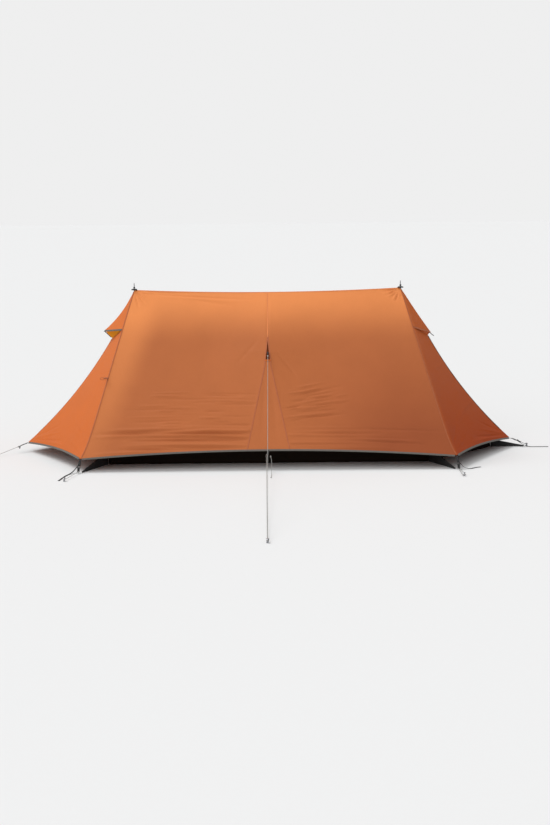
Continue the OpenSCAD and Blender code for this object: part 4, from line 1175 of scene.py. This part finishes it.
def add_poles():
    for label, x, foot in (("left", -RIDGE_HALF, 0.0), ("right", RIDGE_HALF, 0.0015)):
        rode(lathe("grip_" + label, grip_profile(), (x, 0, foot), FOAM, segments=48), "shelter", "grip_foam",
             "pole_grips")
        cap = [(0.0, -0.0001), (0.0160, -0.0001), (0.0202, 0.0038), (0.0197, 0.0150), (0.0192, 0.0205),
               (0.0172, 0.0240), (0.0155, 0.0266)]
        rode(lathe("grip_cap_" + label, cap, (x, 0, foot + 0.0001), PLASTIC, segments=48), "shelter", "grip_foam")
        turns = np.radians(np.linspace(-140, 140, 60))
        loop = points(x - 0.030 * np.sin(turns), 0.074 + 0.052 * np.cos(turns), foot + 0.0080 + 0 * turns)
        rode(strip("wrist_loop_" + label, loop, (0, 0, 1), 0.0145, 0.0018, WEBBING), "shelter", "black_webbing",
             "pole_wrist_straps")
        mark = [(0.00902, -0.0006), (0.00912, -0.0005), (0.00912, 0.0005), (0.00902, 0.0006), (0.00902, -0.0006)]
        for z in (0.300, 0.340, 0.380, 0.420, 0.460, 0.500):
            rode(lathe("tube_mark_{}_{:.0f}".format(label, z * 1000), mark, (x, 0, z), PLASTIC), "shelter",
                 "pole_tube")
        softened(label + "_pole_middle", TUBE, 0.0003)
        softened(label + "_pole_tip", STEEL, 0.0003)
        softened(label + "_pole_upper_lock", PLASTIC, 0.0006)
        for lever in ("_lower_lever", "_upper_lever"):
            softened(label + lever, LEVER, 0.0005)
    softened("pole_upper_tubes", TUBE, 0.0003)
    softened("pole_lower_locks", PLASTIC, 0.0006)


# Corner straps, buckles, pegs and knots
BAR_AT = 0.0098


def ladder_lock(name, seat, way, body):
    """Two rails and three bars, on a slant; the straps pass over its bars."""
    seat, way = np.asarray(seat, float), unit(way)
    side = unit(np.cross(way, (0, 0, 1)))
    over = np.cross(side, way)
    parts = []
    for sign in (-1, 1):
        rail = [seat + side * sign * BAR_AT + way * q + over * lift
                for q, lift in ((-0.0100, 0.0004), (-0.0045, 0.0), (0.0, 0.0006), (0.0045, 0.0), (0.0102, 0.0012))]
        parts.append(tube("rail_part", smooth_path(rail, 24), 0.0017, PLASTIC))
    for q, lift, radius in ((-BAR_AT, 0.0002, 0.0016), (0.0, 0.0006, 0.0014), (BAR_AT, 0.0010, 0.0019)):
        bar = [seat + way * q + over * lift + side * w for w in np.linspace(-BAR_AT, BAR_AT, 12)]
        parts.append(tube("bar_part", bar, radius, PLASTIC))
    rigged(parts, name, body, "black_plastic", body)


def peg_loop(name, start, peg, material, z=0.0155):
    """A loop from the end of a line round a peg's neck."""
    start, peg = np.asarray(start, float), np.array([*peg, z])
    way = unit((peg - start) * (1, 1, 0))
    side = np.array([-way[1], way[0], 0])
    arc = [peg + 0.0062 * (math.cos(a) * side + math.sin(a) * way) for a in np.linspace(-0.35, math.pi + 0.35, 20)]
    path = smooth_path([start + side * 0.0008, *arc, start - side * 0.0008], 60)
    rode(tube(name, path, 0.0013, material, 8), "shelter", "guy_cord")


def bar_wrap(seat, way, at, tail_to):
    """A strap that turns over a buckle's bar and runs back below itself."""
    over = np.cross(unit(np.cross(way, (0, 0, 1))), way)
    bar = seat + way * at
    back = unit(tail_to - bar)
    turn = 0.0030
    knots = [bar + back * 0.030 + over * 0.0014, bar + back * 0.008 + over * turn, bar + over * turn,
             bar - back * turn, bar - over * turn, bar + back * 0.008 - over * turn,
             bar + back * 0.020 - over * 0.0018]
    return strap("strap_part", knots, thick=0.0015, count=60)


def buckled(start, middle, seat, way, below, low_middle, foot, back_to):
    """The straps above and below a buckle, each turned over its bar."""
    return [strap("strap_part", [start, middle, seat - way * 0.012]), bar_wrap(seat, way, -BAR_AT, back_to),
            strap("strap_part", [seat + below * 0.011, low_middle, foot]), bar_wrap(seat, way, BAR_AT, foot)]


def add_corner_straps():
    straps = []
    corner = np.array([CORNER_X, -CORNER_Y, CORNER_Z])
    for end, tail in ((LEFT, LEFT_TAIL[0]), (RIGHT, RIGHT_TAIL[0])):
        flip, label = mirror(end, False), END_NAME[end]
        seat, foot = (corner + (0.005, -0.042, -0.046)) * flip, (corner + (0.007, -0.062, -0.074)) * flip
        start = (corner + (0.001, -0.004, -0.007)) * flip
        way = unit(seat - corner * flip)
        straps += buckled(start, lerp(start, seat, 0.5), seat, way, unit(foot - seat), lerp(seat, foot, 0.75), foot,
                          start)
        straps.append(strap("strap_part", [seat + (0.002 * flip[0], 0.004, 0.006), lerp(seat, np.array(tail), 0.55)
                                           + (0, 0, 0.007), tail], 0.012, 0.0015))
        ladder_lock(label + "_ladder_lock", seat, way, "front_{}_buckle".format(label))
        ring = ring_path(foot + (0, -0.004, -0.001), (1, 0, 0), unit((0, -0.8, -0.45)), 0.0072, 32)
        rode(tube("corner_ring_" + label, ring, 0.0014, DARK_METAL, 10, True), "shelter", "black_plastic")
        back = np.array([CORNER_X + 0.001, CORNER_Y + 0.004, CORNER_Z - 0.007]) * flip
        peg = np.array([CORNER_X + 0.016, CORNER_Y + 0.160, 0]) * flip
        knee = np.array([peg[0] - 0.001 * flip[0], peg[1] - 0.012, 0.0145])
        straps.append(strap("strap_part", [back, lerp(back, knee, 0.5), knee]))
        peg_loop("peg_loop_back_" + label, knee, peg[:2], BLACK_CORD)
    tip = np.array([TIP_X, 0, TIP_Z])
    seat, foot = np.array([TIP_X + 0.052, 0, 0.044]), np.array([TIP_X + 0.104, 0, 0.022])
    way = unit(seat - tip)
    straps += buckled(tip + (0.003, 0, -0.004), lerp(tip, seat, 0.6), seat, way, way, lerp(seat, foot, 0.7), foot,
                      tip)
    straps.append(strap("strap_part", [seat + (0.004, -0.006, 0.006), (1.791, -0.014, 0.043), END_TAIL[0]],
                        0.012, 0.0015))
    ladder_lock("end_ladder_lock", seat, way, "right_end_buckle")
    straps.append(strap("strap_part", [(-TIP_X - 0.003, -0.002, TIP_Z - 0.005), (-TIP_X - 0.022, -0.028, 0.056),
                                       (-TIP_X - 0.044, -0.060, 0.050)]))
    rigged(straps, "corner_straps", "shelter", "black_webbing", "corner_webbing")
    peg_loop("peg_loop_right_end", foot, (TIP_X + 0.124, 0), BLACK_CORD, 0.0160)


def add_fittings():
    for name, start, peg, z in (("guy", GUY_FOOT, (0, -2.944), 0.0155),
                                ("hem_guy", HEM_GUY_FOOT, (0, -2.944), 0.0128),
                                ("front_left", LEFT_CORD[-1], (-1.310, -1.180), 0.0155),
                                ("left_end", LEFT_GUY[-1], (-1.918, -0.258), 0.0155)):
        peg_loop("peg_loop_" + name, start, peg, CORD, z)
    for name, a, b, off, size in (("guy", GUY_TOP, GUY_FOOT, 0.014, 0.0046),
                                  ("left_guy", LEFT_GUY[0], LEFT_GUY[-1], 0.020, 0.0050),
                                  ("left_corner", LEFT_CORD[0], LEFT_CORD[-1], 0, 0.0044),
                                  ("hem_tail", HEM_TAIL[0], HEM_TAIL[1], 0, 0.0040)):
        line = np.subtract(b, a)
        knot("knot_" + name, np.array(a) + off * unit(line), line, size, CORD)
    tip = [(0.0016, -0.012), (0.0024, -0.011), (0.0027, -0.004), (0.0024, 0.0), (0.0016, 0.0005)]
    end, before = np.array(HEM_TAIL[-1]), np.array(HEM_TAIL[-2])
    rode(lathe("hem_tail_tip", tip, tuple(end + (0, 0, 0.0011)), CORD_TIP, tuple(unit(end - before))), "shelter",
         "guy_cord")
    toggle = [(0.0, -0.010), (0.0034, -0.0095), (0.0042, -0.007), (0.0036, 0.0), (0.0042, 0.007), (0.0034, 0.0095),
              (0.0, 0.010)]
    rode(lathe("left_guy_toggle", toggle, (-1.7800, -0.0700, 0.0400), PLASTIC, (0.2, 0.1, 0.97)), "shelter",
         "black_plastic")
    hook = smooth_path([(0.002, -0.8575, 0.1125), (-0.004, -0.8600, 0.1120), (-0.010, -0.8600, 0.1115),
                        (-0.014, -0.8600, 0.1100)], 16)
    rode(tube("hem_guy_hook", hook, 0.0018, PLASTIC), "shelter", "black_plastic")
    for peg in ("front_left", "front_right", "back_left", "back_right", "left_end", "right_end", "front_guy"):
        softened("peg_" + peg, PEG, 0.0004)
    softened("hem_adjuster", PLASTIC, 0.0010)
    for strut in ("left_vent_strut", "right_vent_strut"):
        softened(strut, PLASTIC, 0.0012)


# Floor and light
def add_stage():
    outline = [(x, y, -0.0004) for x, y in ((-60, -30), (60, -30), (60, 90), (-60, 90))]
    linked("floor", mesh_of("floor", outline, [(0, 1, 2, 3)]), FLOOR)
    for name, place, strength, angle in (("key", (-0.50, 0.25, 1.0), 1.60, 36),
                                         ("fill", (-0.30, -0.90, 0.70), 1.22, 60)):
        data = bpy.data.lights.new(name, "SUN")
        data.energy = strength
        data.angle = math.radians(angle)
        light = bpy.data.objects.new(name, data)
        light.rotation_euler = Vector(place).to_track_quat("Z", "Y").to_euler()
        bpy.context.scene.collection.objects.link(light)
    world = bpy.data.worlds.new("studio")
    world.use_nodes = True
    tree = world.node_tree
    seen = tree.nodes.new("ShaderNodeLightPath")
    sky = tree.nodes["Background"]
    backdrop = tree.nodes.new("ShaderNodeBackground")
    choose = tree.nodes.new("ShaderNodeMixShader")
    sky.inputs["Color"].default_value = (0.98, 0.99, 1.0, 1)
    sky.inputs["Strength"].default_value = 0.455
    backdrop.inputs["Color"].default_value = (0.862, 0.862, 0.862, 1)
    backdrop.inputs["Strength"].default_value = 1.0
    tree.links.new(seen.outputs["Is Camera Ray"], choose.inputs[0])
    tree.links.new(sky.outputs[0], choose.inputs[1])
    tree.links.new(backdrop.outputs[0], choose.inputs[2])
    tree.links.new(choose.outputs[0], tree.nodes["World Output"].inputs["Surface"])
    bpy.context.scene.world = world
    bpy.context.scene.view_settings.view_transform = "Standard"


add_peaks()
add_guy_loops()
add_zips()
add_tiebacks()
add_inner()
add_poles()
add_corner_straps()
add_fittings()
add_stage()
